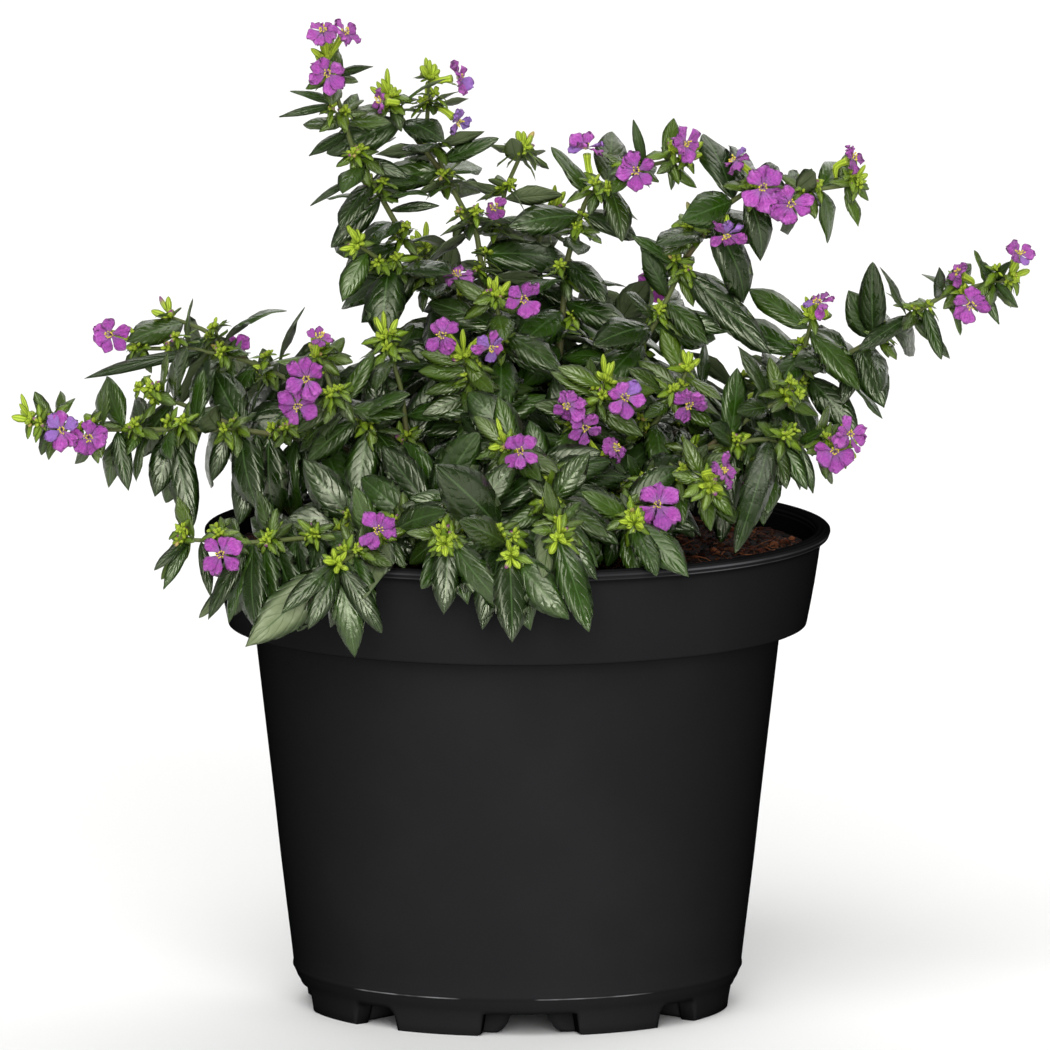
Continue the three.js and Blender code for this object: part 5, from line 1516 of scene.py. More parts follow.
@dataclass
class PottingSoil:
    """Peat that fills the pot to a little below its lip, crumbly on top, with fibres."""

    sides: int = 240
    top_rows: int = 74
    fibres: int = 700
    crumbs: int = 3200

    def height(self, x: np.ndarray, y: np.ndarray) -> np.ndarray:
        """Height of the top: a level of 146 mm with lumps, clods and crumbs on it."""
        broad = lumpy(x, y, waves(14, 25, 70, 3)) * 0.55
        clods = lumpy(x, y, waves(26, 7, 18, 4)) * 0.4
        crumb = lumpy(x, y, waves(40, 2.6, 6, 5)) * 0.28
        return SOIL_TOP - 0.1 + broad + clods + crumb

    def build(self, peat: bpy.types.Material) -> bpy.types.Object:
        """Makes the soil: a turned body below, a lumpy top, and fibres that lie on it."""
        shell = Shell()
        slope = (COLLAR_TOP_RADIUS - COLLAR_BOTTOM_RADIUS) / 26
        edge = COLLAR_BOTTOM_RADIUS - WALL + slope * (SOIL_TOP - COLLAR_BOTTOM - WALL) - 0.9
        below = [[30, 11.4], [69.2, 11.4], [82.0, 124.9], [89.9, 125.2], [edge, SOIL_TOP - 2.5]]
        radii = np.concatenate([[row[0] for row in below], np.linspace(edge, 2, self.top_rows)])
        turn = np.arange(self.sides) * 2 * math.pi / self.sides
        x = radii[:, None] * np.cos(turn)
        y = radii[:, None] * np.sin(turn)
        z = self.height(x, y)
        z[: len(below)] = np.array([row[1] for row in below])[:, None]
        rings = np.stack([x, y, z], axis=-1)[None]
        shell.add(rings, np.array([[0, 0, 11.4]]), rings[:, -1].mean(axis=1), Skin.LEAF)
        self.add_fibres(shell, edge)
        self.add_crumbs(shell, edge)
        return shell.build("potting_soil", [peat])

    def add_fibres(self, shell: Shell, edge: float) -> None:
        """Adds thin fibres: bent three-sided slivers that lie on the top."""
        draws = np.random.default_rng(11)
        count = self.fibres
        reach = (edge - 6) * np.sqrt(draws.random(count))
        spot = draws.random(count) * 2 * math.pi
        start = np.stack([reach * np.cos(spot), reach * np.sin(spot)], -1)
        way = draws.random(count) * 2 * math.pi
        bend = (draws.random(count) - 0.5) * 1.6
        length = 2.0 + 4.5 * draws.random(count)
        share = np.linspace(0, 1, 4)
        rise = 2.2 * draws.random(count) ** 3
        turned = way[:, None] + bend[:, None] * share
        path = start[:, None] + length[:, None, None] * share[:, None] * np.stack(
            [np.cos(turned), np.sin(turned)], -1)
        inside = np.minimum(1, (edge - 2) / np.linalg.norm(path, axis=-1, keepdims=True))
        path = path * inside
        z = self.height(path[..., 0], path[..., 1]) + 0.15 + rise[:, None] * share
        path = np.concatenate([path, z[..., None]], -1)
        thick = (0.12 + 0.16 * draws.random(count))[:, None, None, None]
        around = np.arange(3) * 2 * math.pi / 3
        square = np.stack([-np.sin(turned), np.cos(turned), turned * 0], -1)
        rings = path[:, :, None] + thick * (
            square[:, :, None] * np.cos(around)[:, None] + UP * np.sin(around)[:, None])
        tint = 0.35 + 0.65 * draws.random(count)
        shell.add(rings, path[:, 0], path[:, -1], Skin.LEAF, tint=tint[:, None, None])

    def add_crumbs(self, shell: Shell, edge: float) -> None:
        """Adds crumbs: small uneven lumps of two rings, half sunk in the top."""
        draws = np.random.default_rng(12)
        count = self.crumbs
        reach = (edge - 3) * np.sqrt(draws.random(count))
        spot = draws.random(count) * 2 * math.pi
        x = reach * np.cos(spot)
        y = reach * np.sin(spot)
        middle = np.stack([x, y, self.height(x, y)], -1)
        size = (0.4 + 1.1 * draws.random(count) ** 2)[:, None, None, None]
        around = np.arange(5) * 2 * math.pi / 5
        circle = np.stack([np.cos(around), np.sin(around), around * 0], -1)
        uneven = 0.7 + 0.6 * draws.random((count, 2, 5, 1))
        level = np.array([-0.3, 0.45])[None, :, None, None]
        rings = middle[:, None, None] + size * (circle * uneven + UP * level)
        tint = 0.8 * draws.random(count) ** 4
        low = middle - UP * size[:, 0, 0] * 0.8
        high = middle + UP * size[:, 0, 0] * 0.9
        shell.add(rings, low, high, Skin.LEAF, tint=tint[:, None, None])


@dataclass
class Foliage:
    """Leaves of one piece, each a thin arched blade with a keel and soft quilting."""

    rows: int = 10
    columns: int = 5
    breadth: float = 1.12
    limeness: float = 0.64

    def add(self, shell: Shell, leaves: list[Leaf]) -> None:
        """Adds leaves to a shell.

        Half the width at a share t of the length is the sine of pi times t to the 0.97,
        to the power 0.72 + a t cubed, on a short stalk: the greater a, the sharper the
        tip. Across the blade the upper face rises 0.45 s - 0.55 s squared of that half
        width, and the lower face lies under it, thickest along the midrib. The blade
        twists about its midrib towards the tip. Twist and a are drawn from its tint.

        Args:
            shell: where they go.
            leaves: what to add.
        """
        if not leaves:
            return
        root = np.array([leaf.root for leaf in leaves])[:, None]
        along = np.array([leaf.along for leaf in leaves])[:, None]
        above = np.array([leaf.above for leaf in leaves])[:, None]
        size = np.array([[leaf.length, leaf.width, leaf.bend, leaf.young, leaf.tint] for leaf in leaves])
        length, width, bend, young, tint = (size[:, index][:, None] for index in range(5))
        t = 0.03 + 0.945 * (0.5 - 0.5 * np.cos(np.linspace(0.16, math.pi - 0.12, self.rows)))
        t = t[None]
        turn = bend * t
        reach = length / bend
        arc = along * np.sin(turn)[..., None] - above * (1 - np.cos(turn))[..., None]
        middle = root + arc * reach[..., None]
        facing_up = above * np.cos(turn)[..., None] + along * np.sin(turn)[..., None]
        side = np.cross(along, above)
        twist = (0.6 * (np.modf(tint * 7.0)[0] - 0.5) * t)[..., None]
        side, facing_up = (
            side * np.cos(twist) + facing_up * np.sin(twist),
            facing_up * np.cos(twist) - side * np.sin(twist),
        )
        sharper = 0.4 * np.modf(tint * 3.0)[0] - 0.04
        half = 0.5 * self.breadth * width * np.sin(math.pi * t**0.97) ** (0.72 + sharper * t**3)
        half = np.maximum(half, 0.3) * np.minimum(1, 0.35 + 9 * (t - 0.03))
        s = np.linspace(-1, 1, self.columns)
        inner = s[1:-1]
        across = np.concatenate([-s, inner])
        wave = 0.16 * np.sin(9.0 * t + 40 * tint)[..., None] * np.abs(across) * across
        upper = 0.45 * np.abs(across) - 0.55 * across**2 + wave
        lift = upper * half[..., None]
        below = np.concatenate([np.zeros(self.columns), 0.28 + 0.3 * (1 - np.abs(inner))])
        sink = below * np.minimum(1, half / 2.2)[..., None]
        rings = middle[:, :, None] + side[:, :, None] * (half[..., None] * across)[..., None]
        rings = rings + facing_up[:, :, None] * (lift - sink)[..., None]
        rings = rings[:, :, self.order()]
        tip_turn = bend[:, 0]
        tip = root[:, 0] + reach * (along[:, 0] * np.sin(tip_turn)[:, None]
                                    - above[:, 0] * (1 - np.cos(tip_turn))[:, None])
        under = (np.arange(len(across)) >= self.columns).astype(float)
        shell.add(
            rings, root[:, 0], tip, Skin.LEAF,
            along=t[..., None], across=across[self.order()], under=under[self.order()],
            young=self.limeness * young[..., None], tint=tint[..., None],
        )

    def order(self) -> np.ndarray:
        """The order of a ring's points: from the right edge under the blade and back over."""
        columns = self.columns
        under = np.arange(columns, 2 * columns - 2)[::-1]
        upper = np.arange(columns)
        return np.concatenate([upper[:1], under, upper[:0:-1]])


@dataclass
class SmallFoliage(Foliage):
    """Young leaves, with fewer rows and columns."""

    rows: int = 5
    columns: int = 3
    limeness: float = 1.0


@dataclass
class BudCluster:
    """Closed buds: narrow at the root, pointed, and six-sided with every other edge raised."""

    sides: int = 6

    def add(self, shell: Shell, buds: list[Bud]) -> None:
        """Adds buds; the radius along each one follows a fixed row of shares.

        Args:
            shell: where they go.
            buds: what to add.
        """
        if not buds:
            return
        root = np.array([bud.root for bud in buds])
        along = np.array([bud.along for bud in buds])
        size = np.array([[bud.length, bud.radius, bud.tint] for bud in buds])
        level, raised = square_to(along)
        t = np.array([0.04, 0.26, 0.46, 0.68, 0.86, 0.95])
        swell = np.array([0.24, 0.42, 0.86, 1.0, 0.72, 0.4])
        turn = -np.arange(self.sides) * 2 * math.pi / self.sides
        rib = 1 + 0.16 * np.where(np.arange(self.sides) % 2 == 0, 1.0, -1.0)
        circle = level[:, None, None] * np.cos(turn)[:, None] + raised[:, None, None] * np.sin(turn)[:, None]
        radius = size[:, 1][:, None, None, None] * swell[None, :, None, None] * rib[None, None, :, None]
        spine = root[:, None] + along[:, None] * (size[:, 0][:, None] * t)[..., None]
        rings = spine[:, :, None] + circle * radius
        tip = root + along * size[:, 0][:, None]
        share = np.abs(1 - 2 * np.arange(self.sides) / self.sides)
        shell.add(
            rings, root, tip, Skin.BUD,
            along=t[None, :, None], across=share, tint=size[:, 2][:, None, None],
        )


@dataclass
class OpenBloom:
    """An open flower: six crinkled petals on narrow claws, round a tuft of stamens."""

    columns: int = 7
    stamens: int = 11
    shape: tuple[float, ...] = (0.06, 0.12, 0.24, 0.335, 0.385, 0.37, 0.29, 0.16)

    def add(self, shell: Shell, flower: Flower, seed: int) -> None:
        """Adds one flower.

        A petal's half width, as a share of its reach, is a narrow claw that widens to a
        round end. Each petal is pitched towards or away from the eye and turned about
        its own middle line, and waves along and across it crinkle it, deepest at its end.

        Args:
            shell: where it goes.
            flower: its place, way and width.
            seed: where the draws start.
        """
        draws = np.random.default_rng(seed)
        radius = flower.width / 2
        level, raised = square_to(flower.looks)
        uneven = 0.7 * (draws.random(PETALS) - 0.5)
        turn = math.pi / 2 + (np.arange(PETALS) + uneven) * 2 * math.pi / PETALS
        outward = -level * np.cos(turn)[:, None] + raised * np.sin(turn)[:, None]
        side = np.cross(np.broadcast_to(flower.looks, outward.shape), outward)
        pitch = (0.5 * (draws.random() - 0.4) + 0.75 * (draws.random(PETALS) - 0.5))[:, None]
        normal = flower.looks * np.cos(pitch) - outward * np.sin(pitch)
        outward = outward * np.cos(pitch) + flower.looks * np.sin(pitch)
        roll = (1.1 * (draws.random(PETALS) - 0.5))[:, None]
        side, normal = (
            side * np.cos(roll) + normal * np.sin(roll),
            normal * np.cos(roll) - side * np.sin(roll),
        )
        t = np.array([0.08, 0.24, 0.4, 0.52, 0.67, 0.81, 0.92, 0.985])
        scale = (0.82 + 0.22 * draws.random(PETALS) - 0.06 * outward @ raised)[:, None]
        half = np.array(self.shape) * radius * (0.74 + 0.42 * draws.random(PETALS))[:, None]
        s = np.linspace(-1, 1, self.columns)
        across = np.concatenate([-s, s[1:-1]])
        phase = draws.random((PETALS, 1, 1)) * 6
        ruffle = np.sin(6.5 * across + phase) * 0.75
        ruffle = ruffle + np.sin(11 * t[:, None] + 4 * across + 2 * phase) * 0.6
        out = ruffle * (t**1.4)[:, None] * 0.15 * radius
        out = out - 0.16 * radius * (t**2)[:, None] * (draws.random((PETALS, 1, 1)) - 0.2)
        thick = np.concatenate([np.zeros(self.columns), np.full(self.columns - 2, 0.2)])
        out = out - thick * (0.4 + 0.6 * t[:, None])
        ragged = 0.04 * np.sin(8 * across + 3 * phase) - 0.1 * across**2
        rounding = -radius * ragged * (t**3)[:, None]
        forward = radius * (scale * t)[..., None] - rounding
        rings = (
            flower.middle + outward[:, None, None] * forward[..., None]
            + side[:, None, None] * (half[..., None] * across)[..., None]
            + normal[:, None, None] * out[..., None]
        )
        order = Foliage(len(t), self.columns).order()[::-1]
        start = np.broadcast_to(flower.middle - flower.looks * 0.6, (PETALS, 3))
        end = flower.middle + outward * (radius * scale * 1.0) + normal * out[:, -1, 2][:, None]
        age = self.age(flower, draws)
        shell.add(
            rings[:, :, order], start, end, Skin.PETAL,
            along=t[:, None], across=across[order], young=age[:, None, None],
            tint=draws.random(PETALS)[:, None, None],
        )
        self.add_stamens(shell, flower, draws)

    def age(self, flower: Flower, draws: np.random.Generator) -> np.ndarray:
        """How faded each petal is: one flower is lilac, and others have some lilac petals."""
        mixed = draws.random(PETALS)
        if flower.name in LILAC_BLOOMS:
            return 0.55 + 0.45 * mixed
        some = 0.6 if flower.name in PART_LILAC_BLOOMS else 0.97
        return np.where(mixed > some, 0.75, 0.12 * mixed)

    def add_stamens(self, shell: Shell, flower: Flower, draws: np.random.Generator) -> None:
        """Adds a ring of short filaments with swollen ends round the flower's middle."""
        count = self.stamens
        level, raised = square_to(flower.looks)
        turn = np.arange(count) * GOLDEN_ANGLE
        lean = 0.15 + 0.5 * draws.random(count)
        outward = level * np.cos(turn)[:, None] + raised * np.sin(turn)[:, None]
        along = unit(outward * np.sin(lean)[:, None] + flower.looks * np.cos(lean)[:, None])
        root = flower.middle + outward * 0.45 - flower.looks * 0.5
        length = 1.2 + 1.6 * draws.random(count)
        t = np.array([0.1, 0.62, 0.76, 0.92])
        thick = np.array([0.16, 0.1, 0.3, 0.24])
        first, second = square_to(along)
        around = -np.arange(4) * 2 * math.pi / 4
        circle = first[:, None, None] * np.cos(around)[:, None]
        circle = circle + second[:, None, None] * np.sin(around)[:, None]
        spine = root[:, None] + along[:, None] * (length[:, None] * t)[..., None]
        rings = spine[:, :, None] + circle * thick[None, :, None, None]
        shell.add(rings, root, root + along * length[:, None], Skin.STAMEN, along=t[None, :, None])


def seen_height(points: np.ndarray) -> np.ndarray:
    """How high places lie in the front view's own plane."""
    return points[..., 2] * math.cos(VIEW_TILT) + points[..., 1] * math.sin(VIEW_TILT)


def fills_opening(leaf: Leaf) -> bool:
    """Whether a leaf's middle or end would close a place that the photo looks through."""
    spots = leaf.root + leaf.along * leaf.length * np.array([[0.5], [0.9]])
    up = seen_height(spots)
    return any(
        bool((np.hypot(spots[:, 0] - across, up - middle) < reach).any())
        for across, middle, reach in OPENINGS
    )


LILAC_BLOOMS = {"bloom_tall_middle_faded"}
PART_LILAC_BLOOMS = {
    "bloom_front_left", "bloom_left_low", "bloom_inner_middle_right", "bloom_right_tall_low",
}


@dataclass
class Wood:
    """Stems, side twigs and flower tubes: rings carried along a softened route."""

    step: float = 2.6
    sides: int = 8

    def rings(self, shoot: Shoot, start: float, radii: np.ndarray | None = None) -> tuple:
        """Works out the rings of one stem.

        Each corner of the route is softened: a point is the mean, with weights 1, 2 and 1,
        of the places a little before, at and a little after its own distance.

        Args:
            shoot: the route and its radius.
            start: distance along the route at which it starts.
            radii: radius at even shares of the length, in place of the shoot's own.

        Returns:
            The rings, and the share of the length that each one stands at.
        """
        count = max(3, int((shoot.length - start) / self.step) + 1)
        distance = np.linspace(start, shoot.length, count)
        soft = min(2.0, shoot.length / 6)
        before = shoot.at(np.maximum(distance - soft, start))[0]
        after = shoot.at(np.minimum(distance + soft, shoot.length))[0]
        path = (before + 2 * shoot.at(distance)[0] + after) / 4
        along = unit(np.gradient(path, axis=0))
        mean = unit(along.mean(axis=0))
        reference = unit(np.cross(mean, UP if abs(mean[2]) < 0.9 else np.array([0.0, 1.0, 0.0])))
        level = unit(reference - along * (along @ reference)[:, None])
        raised = np.cross(level, along)
        share = distance / shoot.length
        if radii is None:
            radius = shoot.start_radius + (shoot.end_radius - shoot.start_radius) * share
        else:
            radius = np.interp(share, np.linspace(0, 1, len(radii)), radii)
        turn = -np.arange(self.sides) * 2 * math.pi / self.sides
        circle = level[:, None] * np.cos(turn)[:, None] + raised[:, None] * np.sin(turn)[:, None]
        return path[:, None] + circle * radius[:, None, None], share

    def add(self, shell: Shell, shoot: Shoot, green: np.ndarray, start: float = 0.0) -> None:
        """Adds one stem, its green running between the shares given at its ends."""
        rings, share = self.rings(shoot, start)
        share = share[None, :, None]
        shell.add(
            rings[None], rings[:1].mean(axis=1), rings[-1:].mean(axis=1), Skin.WOOD,
            along=share, young=green[0] + (green[1] - green[0]) * share,
        )

    def add_calyx(self, shell: Shell, shoot: Shoot, tint: float) -> None:
        """Adds a flower's tube, thin at its root and wide at its mouth, in the buds' finish."""
        radii = np.array([0.4, 0.5, 0.62, 0.95, 1.12, 1.05, 1.2, 1.35])
        rings, share = self.rings(shoot, 0.0, radii)
        shell.add(
            rings[None], rings[:1].mean(axis=1), rings[-1:].mean(axis=1), Skin.BUD,
            along=0.4 * share[None, :, None], across=np.abs(1 - 2 * np.arange(self.sides) / self.sides),
            tint=np.full((1, 1, 1), tint),
        )


@dataclass(frozen=True)
class SeenLeaf:
    """A large leaf where the photo shows one, each place given as it is seen.

    Its root and tip are distances across and up in the front view. A pale one shows its
    under side.
    """

    root: tuple[float, float]
    tip: tuple[float, float]
    width: float
    pale: bool = False


SEEN_LEAVES = (
    # The arm far to the right
    SeenLeaf((112, 216.5), (113.3, 236.6), 8.3),
    SeenLeaf((113.3, 212.3), (105.6, 227.6), 9.5),
    SeenLeaf((115.2, 213.3), (117.1, 189.9), 9.6),
    SeenLeaf((105, 207.8), (103.7, 190.9), 6),
    SeenLeaf((94.1, 196.3), (108.8, 181.6), 9.5),
    SeenLeaf((122.2, 218.7), (108.8, 208.5), 5.5),
    SeenLeaf((90.3, 210.1), (85.5, 221.9), 7),
    SeenLeaf((131.8, 225.7), (134.4, 236), 4.2),
    SeenLeaf((132.4, 222.8), (135.3, 205.3), 4.8),
    SeenLeaf((149, 227), (147.4, 236.9), 3.4),
    SeenLeaf((150.3, 225.7), (153.8, 216.5), 3.4),
    SeenLeaf((154.5, 229.2), (157.4, 236.6), 3),
    SeenLeaf((156.7, 227.6), (159.6, 221.9), 2.6),
    # The tall stems to the right
    SeenLeaf((79.1, 249.4), (83.9, 228.3), 6.6),
    SeenLeaf((65.3, 253.8), (55.1, 260.2), 3.6),
    SeenLeaf((39.5, 272.4), (36.9, 282), 3.2),
    SeenLeaf((55.1, 240.4), (41.1, 248.7), 6.6),
    SeenLeaf((48.1, 236), (35.9, 244.9), 4.8),
    SeenLeaf((49, 223.8), (39.5, 240.4), 6.6),
    SeenLeaf((58.9, 238.8), (71.7, 225.1), 8),
    SeenLeaf((59.9, 227.6), (80.7, 206.9), 10.5),
    SeenLeaf((48.1, 217.4), (69.5, 214.9), 7),
    SeenLeaf((76.5, 265.3), (74.6, 272.4), 3.3),
    SeenLeaf((81.6, 269.2), (79.7, 274.6), 2.6),
    SeenLeaf((92.5, 260.6), (92.8, 270.5), 5),
    SeenLeaf((99.2, 260.9), (102.4, 269.2), 5),
    SeenLeaf((96.6, 256.4), (101.4, 245.9), 4.6),
    SeenLeaf((101.8, 259.6), (107.2, 250.3), 4.4),
    # The tall stems to the left
    SeenLeaf((-57.4, 285.2), (-76.2, 282.6), 2.6),
    SeenLeaf((-57.4, 278.1), (-66.6, 270.1), 3.8),
    SeenLeaf((-42.7, 284.5), (-58.6, 272.7), 5),
    SeenLeaf((-52.2, 267.3), (-66.3, 254.2), 2.6),
    SeenLeaf((-43.6, 257), (-59.6, 241.1), 7.2),
    SeenLeaf((-44.3, 244.9), (-56.4, 227.6), 6.4),
    SeenLeaf((-38.2, 234.7), (-52.9, 218.7), 7.8),
    SeenLeaf((-48.4, 269.8), (-35, 263.4), 5),
    SeenLeaf((-36.6, 255.8), (-24.8, 254.5), 3.2),
    SeenLeaf((-24.8, 270.5), (-5.9, 276.2), 5.6),
    SeenLeaf((-34.3, 279.4), (-33.7, 259.6), 5.2),
    SeenLeaf((-52.9, 294.7), (-45.8, 298.6), 3),
    SeenLeaf((-65.7, 295.4), (-72.7, 290.9), 3),
    # The arms to the left
    SeenLeaf((-121.2, 204.6), (-142.7, 198.2), 4.6),
    SeenLeaf((-129.6, 185.5), (-123.8, 163.4), 6),
    SeenLeaf((-110.7, 182.9), (-115.5, 161.5), 8.4),
    SeenLeaf((-106.9, 179.1), (-103.4, 151.9), 8.8),
    SeenLeaf((-93.1, 177.2), (-97.3, 166.3), 5.5),
    SeenLeaf((-85.5, 177.2), (-88.7, 152.6), 10),
    SeenLeaf((-105.9, 144.6), (-114.9, 138.2), 3.8),
    SeenLeaf((-104, 141.4), (-112, 132.1), 4),
    SeenLeaf((-99.8, 141.4), (-97, 129.9), 3.8),
    SeenLeaf((-86.7, 133.7), (-97.9, 122.5), 6.4),
    # Over the front of the lip
    SeenLeaf((-62.5, 139.8), (-66, 119.7), 8.5),
    SeenLeaf((-65.3, 129.6), (-84.5, 115.5), 12.5, pale=True),
    SeenLeaf((-58.3, 131.8), (-51.3, 110.7), 11),
    SeenLeaf((-38.2, 131.8), (-40.4, 106.2), 11.8),
    SeenLeaf((-53.5, 133.4), (-42.7, 118.4), 8),
    SeenLeaf((-24.8, 136.6), (-29.6, 125.4), 8),
    SeenLeaf((-20, 141.4), (-17.4, 114.2), 10.5),
    SeenLeaf((-5.6, 141.4), (-5.6, 113.9), 10.5),
    SeenLeaf((0.5, 175.9), (6.5, 120.9), 11.5),
    SeenLeaf((7.2, 139.8), (21.6, 131.8), 8),
    SeenLeaf((36.6, 151), (35.9, 128.3), 9.5),
    SeenLeaf((46.8, 151.6), (51.9, 141.4), 5.5),
    # Low on the right
    SeenLeaf((79.4, 179.7), (68.9, 143.6), 11),
    SeenLeaf((69.5, 174.9), (64.7, 146.8), 9.5),
    SeenLeaf((81.3, 169.5), (92.2, 163.7), 6),
    SeenLeaf((89.6, 173.3), (94.1, 162.5), 3.8),
    SeenLeaf((91.2, 177.2), (97.3, 182.9), 3.2),
    # In the middle of the bush
    SeenLeaf((14.2, 225.1), (37.2, 214.2), 9),
    SeenLeaf((8.1, 216.5), (33.4, 202.1), 12),
    SeenLeaf((0.8, 197.3), (-17.4, 179.7), 13),
    SeenLeaf((-24.8, 190.9), (-34.3, 174.9), 10),
    SeenLeaf((-25.4, 179.7), (-22.8, 163.1), 9),
    # Over the upper half of the pale leaf
    SeenLeaf((-61.5, 140.5), (-74.5, 124.5), 8),
    # In front of the broad leaf in the middle
    SeenLeaf((0.5, 166), (-20.6, 156.7), 7),
)

# Where the photo looks through between leaves: across, up and half the opening's width
OPENINGS = (
    (35.9, 227.7, 9), (58.3, 263.4, 6), (91.9, 275.6, 9), (93.5, 227.7, 7), (71, 199.5, 5),
    (97.3, 188.7, 4), (122.2, 192.5, 9), (119, 234, 5), (127, 208.5, 4), (-124.4, 193.1, 5),
    (-64.7, 218.7, 8), (-85.5, 217.4, 6), (-96.7, 170.1, 4), (-109.4, 128.6, 6), (-93.5, 115.8, 4),
    (-36, 201.4, 5), (-16.8, 171.7, 4), (32.7, 245.2, 5), (-55.1, 275.6, 3), (-61, 262, 5),
    (-31, 247, 4), (-42, 262, 3), (-51, 254, 3), (-12, 262, 3), (2, 262, 4),
)


@dataclass
class Growing:
    """One stem while it grows: its plan, its shoots and what stands on them."""

    plan: StemPlan
    shoots: list[Shoot]
    tubes: list[Shoot] = field(default_factory=list)
    twigs: list[Shoot] = field(default_factory=list)
    leaves: list[Leaf] = field(default_factory=list)
    small_leaves: list[Leaf] = field(default_factory=list)
    buds: list[Bud] = field(default_factory=list)


@dataclass
class Plant:
    """The whole plant: it grows as the solids did, then fills out with finer growth.

    A pair of a twig's leaves is its share of the twig, its size and how young it is.
    """

    fine_clearance: float = 0.04
    fill_rounds: int = 3
    fill_tries: int = 6
    seen_tries: int = 30
    seen_starts: int = 6
    lip_clearance: float = 4.0
    over_lip_below: float = 146.0
    over_lip_aside: float = 95.0
    lip_leaf_slimness: float = 0.83
    core_reach: float = 80.0
    core_top: float = 212.0
    back_parting: float = 42.0
    rim_reach: float = 84.0
    hang_from: float = 30.0
    hang_step: float = 3.6
    hang_top: float = 172.0
    hang_tries: int = 16
    bloom_sight: float = 34.0
    twig_reach: float = 11.0
    twig_radius: float = 0.5
    twig_tries: int = 4
    twig_pairs: tuple[tuple[float, float, float], ...] = (
        (0.3, 0.38, 0.4), (0.6, 0.31, 0.55), (0.9, 0.24, 0.8),
    )
    bud_slimness: float = 0.8
    tip_bunch: int = 15
    twig_bunch: int = 9
    bracts: int = 4
    thicket: Thicket = field(default_factory=Thicket)
    stems: list[Growing] = field(default_factory=list)

    def grow(self) -> None:
        """Grows every organ in the order that the solids grew in, then the finer ones."""
        self.stems = [Growing(plan, shoots_of(plan)) for plan in LEAFY_STEMS]
        steps = (
            self.set_wood, self.set_buds, self.set_leaves, self.open_blooms, self.set_seen,
            self.hang_leaves, self.fill_between, self.set_twigs, self.bunch_buds,
        )
        for step in steps:
            for owner, stem in enumerate(self.stems):
                step(owner, stem)
            LOG.info(
                "%s: %d leaves, %d small leaves, %d buds", step.__name__,
                self.total("leaves"), self.total("small_leaves"), self.total("buds"),
            )

    def total(self, kind: str) -> int:
        """How many organs of a kind stand on the plant."""
        return sum(len(getattr(stem, kind)) for stem in self.stems)

    def set_wood(self, owner: int, stem: Growing) -> None:
        """Sets a stem's shoots, flower tubes and flowers."""
        for index, shoot in enumerate(stem.shoots):
            self.thicket.place(shoot.solid(index > 0), owner, index, True)
        for flower in stem.plan.blooms:
            tube = calyx_route(flower, stem.shoots)
            stem.tubes.append(tube)
            self.thicket.place(tube.solid(True), owner, -1, True)
            self.thicket.place(flower_solid(flower), owner, -1)

    def try_organ(self, organ: Leaf | Bud, owner: int, slot: int, margin: float) -> bool:
        """Sets an organ where it crosses nothing.

        Args:
            organ: what to set.
            owner: the stem's number.
            slot: its place on the stem.
            margin: how far it keeps from others.

        Returns:
            Whether it was set.
        """
        if not self.thicket.is_clear(organ.solid(margin), owner, slot):
            return False
        self.thicket.place(organ.solid(0), owner, slot)
        return True

    def try_finer(self, leaf: Leaf, owner: int, slot: int) -> bool:
        """Sets a leaf where it closes no opening and crosses nothing; says whether it did."""
        return not fills_opening(leaf) and self.try_organ(leaf, owner, slot, self.fine_clearance)

    def set_buds(self, owner: int, stem: Growing) -> None:
        """Sets the buds that the solids have, at tips and in some axils."""
        for number, shoot in enumerate(stem.shoots):
            draw = Draw(SEED + owner * OWNER_STRIDE + number * SHOOT_STRIDE)
            tip = shoot.at(shoot.length - TIP_INSET)
            slot = number * SLOTS_PER_SHOOT + TIP_SLOT
            for bud in drawn_buds(*tip, TIP_BUDS, owner, TIP_SPREAD, draw):
                if self.try_organ(bud, owner, slot, CLEARANCE):
                    bud.radius *= self.bud_slimness
                    stem.buds.append(bud)
            for index, distance in enumerate(shoot.leaf_places(number == 0)):
                if (index + owner) % AXIL_EVERY != 0 or distance < shoot.length * AXIL_FROM:
                    continue
                slot = number * SLOTS_PER_SHOOT + index
                axil = shoot.at(distance + AXIL_OFFSET)
                for bud in drawn_buds(*axil, AXIL_BUDS, index, AXIL_SPREAD, draw):
                    if self.try_organ(bud, owner, slot, CLEARANCE):
                        bud.radius *= self.bud_slimness
                        stem.buds.append(bud)

    def set_leaves(self, owner: int, stem: Growing) -> None:
        """Sets the leaves that the solids have, in pairs along every shoot."""
        for number, shoot in enumerate(stem.shoots):
            for index, distance in enumerate(shoot.leaf_places(number == 0)):
                slot = number * SLOTS_PER_SHOOT + index
                for side in (0, 1):
                    here = shoot.at(distance + (PAIR_OFFSET if side == 0 else -PAIR_OFFSET))
                    draw = Draw(SEED + owner * OWNER_STRIDE + slot * SLOT_STRIDE + side * SIDE_STRIDE)
                    turn = owner + index * math.pi / 2 + side * math.pi
                    for attempt in range(LEAF_TRIES):
                        shrink = 1 - TRY_SHRINK * attempt
                        leaf = drawn_leaf(*here, distance / shoot.length, turn, shrink, draw)
                        if self.try_organ(leaf, owner, slot, CLEARANCE):
                            leaf.tint = draw()
                            stem.leaves.append(leaf)
                            break

    def open_blooms(self, owner: int, stem: Growing) -> None:
        """Keeps the room in front of every flower free: a six-sided guard along its look."""
        for flower in stem.plan.blooms:
            level, raised = square_to(flower.looks)
            turn = -np.arange(6)[:, None] * 2 * math.pi / 6
            circle = (level * np.cos(turn) + raised * np.sin(turn)) * flower.width * 0.46
            reach = np.linspace(1.5, self.bloom_sight, 5)[:, None, None]
            guard = Body.lofted(flower.middle + flower.looks * reach + circle, None, None)
            self.thicket.place(guard, -1, -1)

